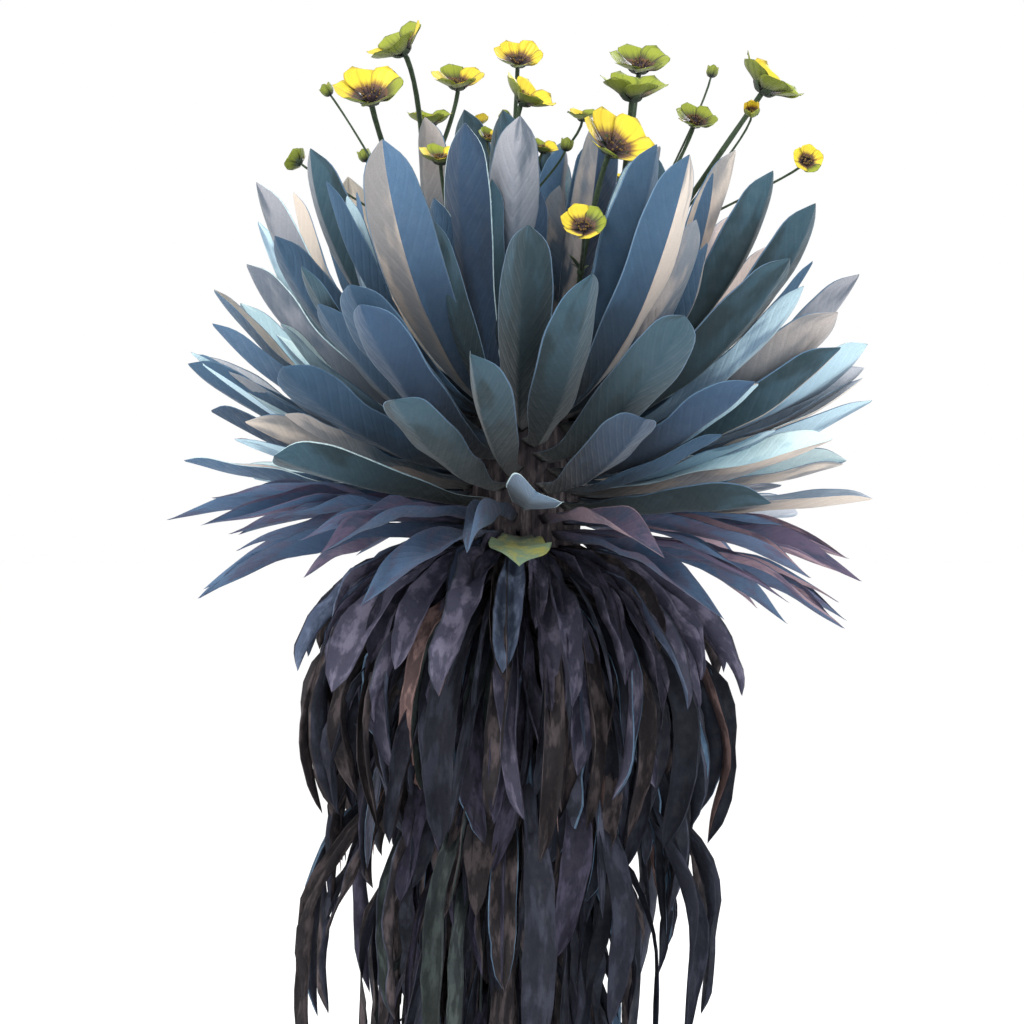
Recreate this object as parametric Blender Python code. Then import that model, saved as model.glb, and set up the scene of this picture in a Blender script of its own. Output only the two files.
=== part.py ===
"""A frailejon, the woolly rosette plant of the high Andean moors, as one whole rooted plant.

Metres, +Z up. The origin is the middle of the flat cut where the trunk meets the ground.
The plant is worked out upright round its own axis, and then all of it leans a little towards +X.

From the ground up it is a tapering trunk with a root flare, seven levels of dead leaves that hang
round it as a skirt, two tiers of fading leaves that droop, eleven tiers of live leaves that open like
a bowl, a bud of erect young leaves on the trunk's tip, and ten forked stalks of cup flowers.
Each tier and each level is cut into a few sectors, and the leaves of one sector grow from one collar
of leaf bases, which hugs the trunk without touching it.
"""

import math
from collections import namedtuple
from random import Random

import bmesh
import bpy
import numpy as np
from mathutils import Matrix, Vector

PLANT = "frailejon"
LEAN = math.radians(3.3)
GAP = 0.0003
FULL_TURN = 2 * math.pi

# Trunk: height and radius of each ring, from the ground cut to the tip
TRUNK_PROFILE = (
    (0.000, 0.150),
    (0.025, 0.134),
    (0.080, 0.112),
    (0.190, 0.100),
    (0.350, 0.095),
    (1.200, 0.076),
    (1.292, 0.052),
    (1.304, 0.030),
)
TRUNK_SIDES = 16
ROOT_LOBES = 5
ROOT_LOBE_DEPTH = 0.09
ROOT_LOBE_HEIGHT = 0.30

# Collars of leaf bases
COLLAR_HEIGHT = 0.014
COLLAR_THICKNESS = 0.011
COLLAR_PARTING = 0.004
ROOT_COVER = 0.0012

# Leaf outlines: share of the length, and share of the full width there
LIVE_OUTLINE = ((0.0, 0.46), (0.14, 0.42), (0.38, 0.76), (0.66, 1.0), (0.90, 0.76), (1.0, 0.24))
FADING_OUTLINE = ((0.0, 0.50), (0.15, 0.50), (0.45, 0.86), (0.72, 1.0), (1.0, 0.0))
DEAD_OUTLINE = ((0.0, 0.28), (0.25, 0.52), (0.60, 1.0), (0.85, 0.72), (1.0, 0.0))

Form = namedtuple("Form", "outline thickness hollow")
LIVE_FORM = Form(LIVE_OUTLINE, 0.0064, 0.08)
FADING_FORM = Form(FADING_OUTLINE, 0.0056, 0.12)
DEAD_FORM = Form(DEAD_OUTLINE, 0.0044, 0.10)

# Tiers of leaves, lowest first: height up the trunk, number of leaves, azimuth of the first in
# degrees, length, width, the slope of the midrib at its foot and at its tip in degrees, and the seed
# that its leaves' small differences are drawn with
Tier = namedtuple("Tier", "height leaves first length width slope_foot slope_tip seed")
FADING_TIERS = (
    Tier(1.062, 13, -84, 0.345, 0.050, 0, -30, 10437),
    Tier(1.080, 13, -97, 0.350, 0.052, 7, -20, 6812),
)
LIVE_TIERS = (
    Tier(1.099, 9, -90, 0.340, 0.062, 1, 6, 3000),
    Tier(1.117, 9, -70, 0.335, 0.064, 5, 20, 8625),
    Tier(1.136, 9, -96, 0.352, 0.066, 7, 25, 6332),
    Tier(1.154, 9, -72, 0.388, 0.068, 9, 31, 4298),
    Tier(1.172, 9, -79, 0.372, 0.068, 13, 39, 7037),
    Tier(1.190, 8, -93, 0.380, 0.068, 18, 49, 4004),
    Tier(1.207, 8, -112, 0.400, 0.068, 25, 64, 11183),
    Tier(1.223, 8, -68, 0.365, 0.068, 36, 71, 3451),
    Tier(1.239, 8, -103, 0.335, 0.066, 49, 76, 2601),
    Tier(1.266, 7, -64, 0.305, 0.064, 66, 83, 7782),
    Tier(1.284, 6, -90, 0.285, 0.062, 78, 90, 1011),
)
LENGTH_SPREAD = 0.07
SLOPE_SPREAD = 2.2
AZIMUTH_SPREAD = 0.10
SWING_SPREAD = 0.05
ROLL_SPREAD = 45.0

# Bud of young leaves on the trunk's tip
BUD_FOOT = 1.3045
BUD_PROFILE = ((0.0, 0.029), (0.05, 0.032), (0.12, 0.020), (0.17, 0.0))
BUD_SIDES = 8
BUD_LEAVES = (
    Tier(0.012, 4, -45, 0.240, 0.062, 82, 89, 900),
    Tier(0.030, 3, -70, 0.215, 0.050, 84, 90, 901),
)

# Skirt of dead leaves, top level first. Slopes are in degrees; the midrib turns over the bend's
# share of its length and then hangs straight. The lift is how many degrees further out the leaves
# stand on the side that the plant leans to
Level = namedtuple("Level", "height leaves length width slope_foot slope_tip bend lift")
SKIRT_LEVELS = (
    Level(1.043, 8, 0.270, 0.054, -8, -70, 1.00, 0),
    Level(1.000, 9, 0.380, 0.058, -5, -102, 0.82, 0),
    Level(0.940, 7, 0.250, 0.054, -8, -92, 0.75, 0),
    Level(0.775, 5, 0.425, 0.060, -10, -93, 0.70, 9),
    Level(0.690, 6, 0.370, 0.052, -26, -91, 0.50, 13),
    Level(0.560, 6, 0.300, 0.046, -44, -89, 0.45, 0),
    Level(0.440, 5, 0.260, 0.042, -61, -89, 0.33, 0),
)
SKIRT_SECTORS = 3
SECTOR_STEP = 37.0
SHORT_LEAF = 0.86

# Flowers
# Cups, from the foot up the outside, over the rim and down the inside: distance from the flower's
# axis and height along it, in flower radii, first at a petal's middle and then between two petals.
# A full flower has six petals and a small one five; a bud is a closed five-sided drop
Cup = namedtuple("Cup", "least_width petals profile end")
CUPS = (
    Cup(0.045, 6, (
        ((0.16, -0.30), (0.16, -0.30)),
        ((0.54, -0.14), (0.50, -0.16)),
        ((1.00, 0.28), (0.82, 0.14)),
        ((0.52, -0.02), (0.48, -0.04)),
    ), -0.14),
    Cup(0.030, 5, (
        ((0.18, -0.30), (0.18, -0.30)),
        ((0.56, -0.10), (0.50, -0.12)),
        ((1.00, 0.28), (0.80, 0.14)),
    ), -0.04),
    Cup(0.0, 5, (
        ((0.24, -0.50), (0.24, -0.50)),
        ((0.75, 0.10), (0.75, 0.10)),
    ), 0.95),
)
RIM_RISE = 0.28
STALK_SEAT = 0.24
STALK_SIDES_RESOLUTION = 0
STALK_FOOT_RADIUS = 0.0042
STALK_FORK_RADIUS = 0.0034
KNUCKLE_RADIUS = 0.0062
BRANCH_RADIUS = (0.0014, 0.0034)
MAIN_STEPS = 5
BRANCH_STEPS = 3
STALK_STAND = 0.010
STALK_RISE = math.radians(60)
AXIL = 1.2525
SHOULDER = 1.297
STALK_SPARE = 0.006

# Each flower: its place, its width, the azimuth that it leans to and how far it leans, in degrees
Flower = namedtuple("Flower", "place width faces lean")
# Each stalk: the facet of the trunk's wall that it stands on, counted from +X, its height there, the
# place of its fork, and its flowers. Most leave the axil above the ninth tier, two the shoulder
# above the last one
Stalk = namedtuple("Stalk", "name facet foot fork flowers")
STALKS = (
    Stalk("flower_stalk_left", 7, AXIL, (-0.150, 0.010, 1.420), (
        Flower((-0.210, -0.100, 1.584), 0.085, -100, 42),
        Flower((-0.304, 0.000, 1.514), 0.034, 150, 55),
        Flower((-0.279, 0.080, 1.619), 0.024, 180, 40),
        Flower((-0.230, 0.120, 1.544), 0.024, 150, 25),
    )),
    Stalk("flower_stalk_back_left", 6, AXIL, (-0.146, 0.080, 1.490), (
        Flower((-0.183, -0.040, 1.657), 0.077, 215, 45),
        Flower((-0.149, 0.120, 1.600), 0.060, -90, 18),
        Flower((-0.115, 0.140, 1.658), 0.070, -95, 30),
    )),
    Stalk("flower_stalk_front_left", 10, AXIL, (-0.095, -0.105, 1.390), (
        Flower((-0.118, -0.150, 1.503), 0.053, -90, 26),
        Flower((-0.149, -0.200, 1.429), 0.022, -120, 8),
    )),
    Stalk("flower_stalk_back", 4, AXIL, (-0.036, 0.160, 1.490), (
        Flower((-0.037, 0.100, 1.682), 0.065, -90, 42),
        Flower((-0.089, 0.160, 1.605), 0.040, -120, 35),
        Flower((-0.048, 0.200, 1.623), 0.024, 130, 60),
        Flower((0.054, 0.200, 1.633), 0.043, -90, 18),
    )),
    Stalk("flower_stalk_front", 11, SHOULDER, (-0.022, -0.096, 1.450), (
        Flower((-0.022, -0.090, 1.593), 0.069, -35, 38),
        Flower((-0.065, -0.060, 1.546), 0.030, -60, 45),
        Flower((0.002, -0.100, 1.529), 0.036, -60, 30),
        Flower((0.029, -0.080, 1.535), 0.022, 20, 10),
    )),
    Stalk("flower_stalk_front_right", 13, AXIL, (0.054, -0.125, 1.380), (
        Flower((0.083, -0.200, 1.521), 0.089, -62, 50),
        Flower((0.051, -0.250, 1.417), 0.052, -95, 55),
    )),
    Stalk("flower_stalk_right", 0, SHOULDER, (0.104, 0.022, 1.470), (
        Flower((0.119, 0.050, 1.674), 0.078, -90, 35),
        Flower((0.104, -0.120, 1.602), 0.082, -84, 17),
        Flower((0.105, 0.100, 1.533), 0.034, -90, 20),
    )),
    Stalk("flower_stalk_back_right", 1, AXIL, (0.128, 0.090, 1.440), (
        Flower((0.202, 0.140, 1.624), 0.057, -80, 42),
        Flower((0.225, 0.200, 1.699), 0.022, 60, 20),
        Flower((0.178, 0.190, 1.500), 0.026, 90, 10),
    )),
    Stalk("flower_stalk_far_right", 15, AXIL, (0.152, -0.024, 1.430), (
        Flower((0.277, -0.020, 1.642), 0.090, -29, 34),
        Flower((0.253, -0.060, 1.595), 0.027, -100, 60),
        Flower((0.325, -0.050, 1.542), 0.038, -80, 72),
    )),
    Stalk("flower_stalk_far_back", 3, AXIL, (0.040, 0.132, 1.390), (
        Flower((0.075, 0.270, 1.490), 0.056, 75, 35),
        Flower((-0.040, 0.265, 1.455), 0.044, 105, 45),
    )),
)

# Surfaces: colour, roughness
BARK = ("bark", (0.075, 0.052, 0.040), 0.92)
LEAF = ("leaf", (0.075, 0.135, 0.185), 0.70)
FADING = ("fading_leaf", (0.150, 0.120, 0.150), 0.80)
DEAD = ("dead_leaf", (0.045, 0.036, 0.036), 0.90)
BLOSSOM = ("blossom", (0.620, 0.500, 0.050), 0.60)

UP = Vector((0.0, 0.0, 1.0))


def outward(azimuth):
    """The level direction away from the trunk's axis at an azimuth in radians."""
    return Vector((math.cos(azimuth), math.sin(azimuth), 0.0))


def between(table, value):
    """Reads a table of (key, value) rows at a key, straight between its rows."""
    for (key_a, value_a), (key_b, value_b) in zip(table, table[1:]):
        if value <= key_b:
            return value_a + (value_b - value_a) * (value - key_a) / (key_b - key_a)
    return table[-1][1]


def clear_scene():
    for thing in list(bpy.data.objects):
        bpy.data.objects.remove(thing)


def surface(name, colour, roughness):
    """A material with one Principled shader."""
    made = bpy.data.materials.new(name)
    made.use_nodes = True
    shader = made.node_tree.nodes["Principled BSDF"]
    shader.inputs["Base Color"].default_value = (*colour, 1.0)
    shader.inputs["Roughness"].default_value = roughness
    shader.inputs["Metallic"].default_value = 0.0
    return made


def loft(rings):
    """A closed solid through rings of points. A last ring of one point draws it to a tip."""
    solid = bmesh.new()
    rows = [[solid.verts.new(point) for point in ring] for ring in rings]
    for lower, upper in zip(rows, rows[1:]):
        for i, corner in enumerate(lower):
            after = lower[(i + 1) % len(lower)]
            if len(upper) == 1:
                solid.faces.new((corner, after, upper[0]))
            else:
                solid.faces.new((corner, after, upper[(i + 1) % len(lower)], upper[i]))
    solid.faces.new(reversed(rows[0]))
    if len(rows[-1]) > 1:
        solid.faces.new(rows[-1])
    bmesh.ops.recalc_face_normals(solid, faces=solid.faces)
    return solid


def as_object(solid, name, home):
    """Puts a solid into a mesh object of its own, in a collection."""
    mesh = bpy.data.meshes.new(name)
    solid.to_mesh(mesh)
    solid.free()
    thing = bpy.data.objects.new(name, mesh)
    home.objects.link(thing)
    return thing


def fuse(name, solids, home, material):
    """Joins crossing solids into one closed body by a union with a collection of them."""
    body = as_object(solids[0], name, home)
    pieces = bpy.data.collections.new(name + "_pieces")
    bpy.context.scene.collection.children.link(pieces)
    for i, solid in enumerate(solids[1:]):
        as_object(solid, f"{name}_piece_{i}", pieces)
    union = body.modifiers.new("union", "BOOLEAN")
    union.operation = "UNION"
    union.operand_type = "COLLECTION"
    union.collection = pieces
    union.solver = "MANIFOLD"
    with bpy.context.temp_override(object=body, active_object=body, selected_objects=[body]):
        bpy.ops.object.modifier_apply(modifier=union.name)
    for piece in list(pieces.objects):
        bpy.data.objects.remove(piece)
    bpy.data.collections.remove(pieces)
    body.data.materials.clear()
    body.data.materials.append(material)
    return body


# A blade is one leaf: where it leaves the axis, its size, and how its midrib runs. Its reach from
# the axis grows along an arc in the upright plane of its azimuth, swings aside and rolls a little
Blade = namedtuple("Blade", "azimuth height radius length width slope_foot slope_tip bend swing roll")


def midrib(blade, share):
    """Place, heading, side and upper face of a blade at a share of its length."""
    bent = min(share, blade.bend)
    turn = blade.slope_tip - blade.slope_foot
    slope = blade.slope_foot + turn * bent / blade.bend
    reach = blade.bend / turn * (math.sin(slope) - math.sin(blade.slope_foot))
    climb = blade.bend / turn * (math.cos(blade.slope_foot) - math.cos(slope))
    reach += (share - bent) * math.cos(slope)
    climb += (share - bent) * math.sin(slope)
    out = outward(blade.azimuth)
    across = outward(blade.azimuth + FULL_TURN / 4)
    place = out * (blade.radius + reach * blade.length) + UP * (blade.height + climb * blade.length)
    place += across * (blade.swing * blade.length * share * share)
    heading = out * math.cos(slope) + UP * math.sin(slope) + across * (2 * blade.swing * share)
    heading.normalize()
    side = (across - heading * across.dot(heading)).normalized()
    side = Matrix.Rotation(blade.roll * share, 3, heading) @ side
    return place, heading, side, heading.cross(side)


def blade_solid(blade, form):
    """The solid of one leaf: three-sided, with the midrib as a low keel underneath, drawn to a tip."""
    rings = []
    for share, wide in form.outline:
        place, heading, side, face = midrib(blade, share)
        half = blade.width * wide / 2
        if half == 0:
            rings.append([place])
            continue
        lift = face * (form.hollow * half + form.thickness / 2)
        keel = place - face * form.thickness / 2
        rings.append([place - side * half + lift, keel, place + side * half + lift])
    return loft(rings)


def is_clear(blade, form, obstacles):
    """True if no obstacle point lies in or close to the blade."""
    steps = 24
    for step in range(1, steps + 1):
        share = step / steps
        place, heading, side, face = midrib(blade, share)
        half = blade.width * between(form.outline, share) / 2
        apart = obstacles - np.array(place)
        near = np.abs(apart @ np.array(heading)) < blade.length / steps
        near &= np.abs(apart @ np.array(side)) < half + STALK_SPARE
        near &= np.abs(apart @ np.array(face)) < form.hollow * half + form.thickness / 2 + STALK_SPARE
        if near.any():
            return False
    return True


def trunk_radius(height):
    return between(TRUNK_PROFILE, height)


def facet_radius(radius, azimuth):
    """The distance from the axis to the trunk's many-sided wall, whose corners have that radius."""
    step = FULL_TURN / TRUNK_SIDES
    return radius * math.cos(step / 2) / math.cos(azimuth % step - step / 2)


def root_flare(height, azimuth):
    """How much the roots swell the trunk there, as a share of its radius."""
    fade = max(0.0, 1 - height / ROOT_LOBE_HEIGHT)
    return 1 + ROOT_LOBE_DEPTH * fade * fade * math.cos(ROOT_LOBES * azimuth + math.sin(azimuth))


def trunk(home, material):
    """The whole trunk: a flat cut on the ground, a root flare, a long taper and a short tip."""
    rings = []
    for height, radius in TRUNK_PROFILE:
        ring = []
        for i in range(TRUNK_SIDES):
            azimuth = FULL_TURN * i / TRUNK_SIDES
            point = outward(azimuth) * radius * root_flare(height, azimuth)
            level = point.x * math.tan(LEAN) if height == 0 else height
            ring.append(point + UP * level)
        rings.append(ring)
    body = as_object(loft(rings), "trunk", home)
    body.data.materials.append(material)
    return body


def collar(height, start, end):
    """A band of leaf bases round part of the trunk, between two azimuths."""
    step = FULL_TURN / TRUNK_SIDES
    first_corner = math.floor(start / step) + 1
    corners = [start]
    while first_corner * step < end:
        if first_corner * step - start > 0.01 and end - first_corner * step > 0.01:
            corners.append(first_corner * step)
        first_corner += 1
    corners.append(end)
    clear = GAP / math.cos(step / 2)
    low, high = height - COLLAR_HEIGHT / 2, height + COLLAR_HEIGHT / 2
    rings = []
    for azimuth in corners:
        out = outward(azimuth)
        inner_low = facet_radius(trunk_radius(low) + clear, azimuth)
        inner_high = facet_radius(trunk_radius(high) + clear, azimuth)
        rings.append([
            out * inner_low + UP * low,
            out * ((inner_low + inner_high) / 2 + COLLAR_THICKNESS) + UP * height,
            out * inner_high + UP * high,
        ])
    return loft(rings)


def root_radius(height, slope, form):
    """How far from the axis a blade starts, so that its foot lies in the collar and off the trunk."""
    foot = form.thickness / 2 * abs(math.sin(slope))
    return trunk_radius(height - COLLAR_HEIGHT / 2) + GAP + ROOT_COVER + foot


def tier_blades(tier, form, obstacles):
    """The leaves of one tier. A leaf that would touch a flower stalk turns aside, or is left out."""
    draw = Random(tier.seed)
    spacing = FULL_TURN / tier.leaves
    blades = []
    for i in range(tier.leaves):
        aim = math.radians(tier.first) + spacing * (i + draw.uniform(-1, 1) * AZIMUTH_SPREAD)
        tilt = math.radians(draw.uniform(-1, 1) * SLOPE_SPREAD)
        length = tier.length * (1 + draw.uniform(-1, 1) * LENGTH_SPREAD)
        swing = draw.uniform(-1, 1) * SWING_SPREAD
        roll = math.radians(draw.uniform(-1, 1) * ROLL_SPREAD)
        slope_foot = math.radians(tier.slope_foot) + tilt / 2
        slope_tip = math.radians(tier.slope_tip) + tilt * 2
        radius = root_radius(tier.height, slope_foot, form)
        for aside in (0, 3, -3, 6, -6, 9, -9, 12, -12, 15, -15, 18, -18, 21, -21):
            azimuth = (aim + math.radians(aside)) % FULL_TURN
            size = (radius, length, tier.width)
            blade = Blade(azimuth, tier.height, *size, slope_foot, slope_tip, 1.0, swing, roll)
            if is_clear(blade, form, obstacles):
                blades.append(blade)
                break
    return sorted(blades, key=lambda blade: blade.azimuth)


def tier_halves(name, tier, form, obstacles, home, material):
    """The two half rings of one tier, parted midway between two leaves."""
    blades = tier_blades(tier, form, obstacles)
    half = len(blades) // 2
    first_gap = (blades[0].azimuth + blades[-1].azimuth - FULL_TURN) / 2
    second_gap = (blades[half - 1].azimuth + blades[half].azimuth) / 2
    parts = (
        ("a", blades[:half], first_gap, second_gap),
        ("b", blades[half:], second_gap, first_gap + FULL_TURN),
    )
    for side, members, start, end in parts:
        parting = COLLAR_PARTING / 2 / trunk_radius(tier.height)
        solids = [collar(tier.height, start + parting, end - parting)]
        solids += [blade_solid(blade, form) for blade in members]
        fuse(f"{name}_{side}", solids, home, material)


def level_blades(level, sector, start, form, seed):
    """The dead leaves of one sector of a skirt level. Every second one is shorter."""
    draw = Random(seed)
    width = FULL_TURN / SKIRT_SECTORS
    blades = []
    for i in range(level.leaves):
        azimuth = start + width * (i + 0.5 + draw.uniform(-0.10, 0.10)) / level.leaves
        share = SHORT_LEAF if i % 2 else 1.0
        length = level.length * share * (1 + draw.uniform(-0.07, 0.07))
        outer = level.lift * math.cos(azimuth)
        slope_foot = math.radians(level.slope_foot + outer + draw.uniform(-2, 2))
        slope_tip = math.radians(level.slope_tip + draw.uniform(-2, 2)) + LEAN * math.cos(azimuth)
        swing = draw.uniform(-0.03, 0.03)
        roll = math.radians(draw.uniform(-12, 12))
        size = (root_radius(level.height, slope_foot, form), length, level.width)
        blades.append(Blade(azimuth, level.height, *size, slope_foot, slope_tip, level.bend, swing, roll))
    return blades


def skirt_level(number, level, home, material):
    """The sectors of one level of the skirt, each with its collar."""
    for sector in range(SKIRT_SECTORS):
        start = math.radians(SECTOR_STEP * number) + FULL_TURN * sector / SKIRT_SECTORS
        end = start + FULL_TURN / SKIRT_SECTORS
        parting = COLLAR_PARTING / 2 / trunk_radius(level.height)
        solids = [collar(level.height, start + parting, end - parting)]
        blades = level_blades(level, sector, start, DEAD_FORM, 100 * number + sector)
        solids += [blade_solid(blade, DEAD_FORM) for blade in blades]
        fuse(f"skirt_{number}_{'abc'[sector]}", solids, home, material)


def bud(obstacles, home, material):
    """A closed cone of the youngest leaves, with erect leaves round it, on the trunk's tip."""
    rings = []
    for height, radius in BUD_PROFILE:
        corners = [outward(FULL_TURN * i / BUD_SIDES) * radius for i in range(BUD_SIDES if radius else 1)]
        rings.append([corner + UP * (BUD_FOOT + height) for corner in corners])
    solids = [loft(rings)]
    for tier in BUD_LEAVES:
        draw = Random(tier.seed)
        for i in range(tier.leaves):
            turn = FULL_TURN * (i + draw.uniform(-0.08, 0.08)) / tier.leaves
            azimuth = math.radians(tier.first) + turn
            length = tier.length * (1 + draw.uniform(-LENGTH_SPREAD, LENGTH_SPREAD))
            size = (between(BUD_PROFILE, tier.height) * 0.6, length, tier.width)
            slopes = (math.radians(tier.slope_foot), math.radians(tier.slope_tip))
            blade = Blade(azimuth, BUD_FOOT + tier.height, *size, *slopes, 1.0, 0.0, 0.0)
            if is_clear(blade, LIVE_FORM, obstacles):
                solids.append(blade_solid(blade, LIVE_FORM))
    return fuse("bud", solids, home, material)


def curve_through(start, start_pull, end, end_pull, steps):
    """Points of a smooth curve that leaves one place and reaches another with given pulls."""
    points = []
    for i in range(steps + 1):
        t = i / steps
        place = start * (2 * t**3 - 3 * t**2 + 1) + start_pull * (t**3 - 2 * t**2 + t)
        place += end * (3 * t**2 - 2 * t**3) + end_pull * (t**3 - t**2)
        points.append(place)
    return points


def flower_axis(flower):
    """The direction that a flower opens to."""
    tip = math.radians(flower.lean)
    return outward(math.radians(flower.faces)) * math.sin(tip) + UP * math.cos(tip)


def stalk_heading(stalk):
    """The level direction that a stalk's foot points in, the middle of its facet."""
    return outward(FULL_TURN / TRUNK_SIDES * (stalk.facet + 0.5))


def stalk_foot(stalk):
    """Where a stalk stands on the trunk's wall, and the direction square to the wall there."""
    low, high = next(rows for rows in zip(TRUNK_PROFILE, TRUNK_PROFILE[1:]) if stalk.foot <= rows[1][0])
    flat = math.cos(FULL_TURN / TRUNK_SIDES / 2)
    out = stalk_heading(stalk)
    square = (out * (high[0] - low[0]) + UP * (low[1] - high[1]) * flat).normalized()
    return out * trunk_radius(stalk.foot) * flat + UP * stalk.foot + square * GAP, square


def stalk_runs(stalk):
    """The main run of a stalk and one branch for each flower, as (points, foot radius, end radius)."""
    foot, square = stalk_foot(stalk)
    fork = Vector(stalk.fork)
    reach = (fork - foot).length
    rise = stalk_heading(stalk) * math.cos(STALK_RISE) + UP * math.sin(STALK_RISE)
    middle = sum((Vector(flower.place) for flower in stalk.flowers), Vector()) / len(stalk.flowers)
    onward = ((middle - fork).normalized() + UP).normalized()
    stand = foot + square * STALK_STAND
    main = [foot, *curve_through(stand, rise * reach * 0.8, fork, onward * reach * 0.8, MAIN_STEPS)]
    runs = [(main, STALK_FOOT_RADIUS, STALK_FORK_RADIUS)]
    thin, thick = BRANCH_RADIUS
    for flower in stalk.flowers:
        axis = flower_axis(flower)
        end = Vector(flower.place) - axis * flower.width / 2 * STALK_SEAT
        span = (end - fork).length
        away = (onward + 1.4 * (end - fork).normalized()).normalized()
        bend = curve_through(fork, away * span * 0.6, end, axis * span * 0.6, BRANCH_STEPS)
        radius = max(thin, min(thick, flower.width * 0.042))
        runs.append((bend, radius, radius))
    return runs


def tube(points, foot_radius, end_radius):
    """A tapering round stem along points, from a curve with a bevel and filled caps."""
    line = bpy.data.curves.new("stem", "CURVE")
    line.dimensions = "3D"
    line.bevel_depth = 1.0
    line.bevel_resolution = STALK_SIDES_RESOLUTION
    line.use_fill_caps = True
    spline = line.splines.new("POLY")
    spline.points.add(len(points) - 1)
    for i, point in enumerate(points):
        spline.points[i].co = (*point, 1.0)
        spline.points[i].radius = foot_radius + (end_radius - foot_radius) * i / (len(points) - 1)
    stem = bpy.data.objects.new("stem", line)
    bpy.context.scene.collection.objects.link(stem)
    evaluated = stem.evaluated_get(bpy.context.evaluated_depsgraph_get())
    mesh = bpy.data.meshes.new_from_object(evaluated)
    solid = bmesh.new()
    solid.from_mesh(mesh)
    bmesh.ops.remove_doubles(solid, verts=solid.verts, dist=0.00001)
    bmesh.ops.recalc_face_normals(solid, faces=solid.faces)
    bpy.data.objects.remove(stem)
    bpy.data.meshes.remove(mesh)
    return solid


def cup_of(flower):
    """The kind of cup that a flower of this width has."""
    return next(cup for cup in CUPS if flower.width >= cup.least_width)


def flower_solid(flower):
    """One cup of broad pointed petals, closed at its foot, with thin walls that meet at the rim."""
    cup = cup_of(flower)
    axis = flower_axis(flower)
    start = axis.orthogonal().normalized()
    radius = flower.width / 2
    is_bud = all(tip == notch for tip, notch in cup.profile)
    corners = cup.petals if is_bud else 2 * cup.petals
    rings = []
    for tip, notch in cup.profile:
        ring = []
        for i in range(corners):
            wide, high = notch if i % 2 else tip
            spoke = Matrix.Rotation(FULL_TURN * i / corners, 3, axis) @ start
            ring.append(Vector(flower.place) + (spoke * wide + axis * high) * radius)
        rings.append(ring)
    rings.append([Vector(flower.place) + axis * cup.end * radius])
    return loft(rings)


def stalk_obstacles():
    """Points along every stalk and round every flower, which the leaves keep clear of."""
    points = []
    for stalk in STALKS:
        for run, _, _ in stalk_runs(stalk):
            for a, b in zip(run, run[1:]):
                pieces = max(1, round((b - a).length / 0.006))
                points += [a.lerp(b, i / pieces) for i in range(pieces + 1)]
        for flower in stalk.flowers:
            axis = flower_axis(flower)
            start = axis.orthogonal().normalized()
            for i in range(12):
                spoke = Matrix.Rotation(FULL_TURN * i / 12, 3, axis) @ start
                rim = (spoke + axis * RIM_RISE) * flower.width / 2
                points += [Vector(flower.place) + rim * share for share in (0.35, 0.7, 1.0)]
    return np.array([tuple(point) for point in points])


def knuckle(place):
    """The swelling at a stalk's fork, which its branches leave."""
    solid = bmesh.new()
    there = Matrix.Translation(place)
    bmesh.ops.create_icosphere(solid, subdivisions=1, radius=KNUCKLE_RADIUS, matrix=there)
    return solid


def flower_stalk(stalk, home, material):
    """One forked stalk with all its flowers."""
    solids = [tube(*run) for run in stalk_runs(stalk)]
    solids.append(knuckle(Vector(stalk.fork)))
    solids += [flower_solid(flower) for flower in stalk.flowers]
    return fuse(stalk.name, solids, home, material)


def grow():
    """Builds the whole plant."""
    clear_scene()
    home = bpy.data.collections.new(PLANT)
    bpy.context.scene.collection.children.link(home)
    bark, leaf, fading, dead, blossom = (surface(*row) for row in (BARK, LEAF, FADING, DEAD, BLOSSOM))
    obstacles = stalk_obstacles()
    trunk(home, bark)
    for number, level in enumerate(SKIRT_LEVELS, 1):
        skirt_level(number, level, home, dead)
    for number, tier in enumerate(FADING_TIERS, 1):
        tier_halves(f"fading_leaves_{number}", tier, FADING_FORM, obstacles, home, fading)
    for number, tier in enumerate(LIVE_TIERS, 1):
        tier_halves(f"leaves_{number:02d}", tier, LIVE_FORM, obstacles, home, leaf)
    bud(obstacles, home, leaf)
    for stalk in STALKS:
        flower_stalk(stalk, home, blossom)
    stand = bpy.data.objects.new("leaning_axis", None)
    home.objects.link(stand)
    stand.rotation_euler = (0.0, LEAN, 0.0)
    for thing in list(home.objects):
        if thing.type == "MESH":
            thing.parent = stand


grow()
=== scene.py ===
"""A frailejon as it looks: woolly leaves, a ragged skirt, furrowed bark and yellow cup flowers.

Metres, +Z up. The plant is grown upright round its own axis by the same rules as its solids, carried to
finer meshes, and then leaned towards +X like them. Azimuth 0 is +X and -90 degrees faces the camera.
"""
import math
from collections import namedtuple
from random import Random

import bpy
import numpy as np
from mathutils import Matrix, Vector


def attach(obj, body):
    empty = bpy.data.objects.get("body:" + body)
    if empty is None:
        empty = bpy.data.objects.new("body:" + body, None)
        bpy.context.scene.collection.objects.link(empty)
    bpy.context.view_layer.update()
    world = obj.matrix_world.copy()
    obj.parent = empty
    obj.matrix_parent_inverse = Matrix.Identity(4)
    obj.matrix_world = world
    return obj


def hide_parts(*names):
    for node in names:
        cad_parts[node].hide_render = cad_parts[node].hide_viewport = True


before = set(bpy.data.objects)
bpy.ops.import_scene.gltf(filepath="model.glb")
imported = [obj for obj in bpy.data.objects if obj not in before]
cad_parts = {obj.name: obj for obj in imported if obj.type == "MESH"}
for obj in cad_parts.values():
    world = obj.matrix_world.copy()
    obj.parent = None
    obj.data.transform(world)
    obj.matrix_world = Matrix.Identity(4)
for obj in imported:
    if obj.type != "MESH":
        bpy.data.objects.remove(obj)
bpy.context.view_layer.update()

FULL_TURN = 2 * math.pi
LEAN = math.radians(3.3)
GAP = 0.0003
UP = np.array((0.0, 0.0, 1.0))

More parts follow.
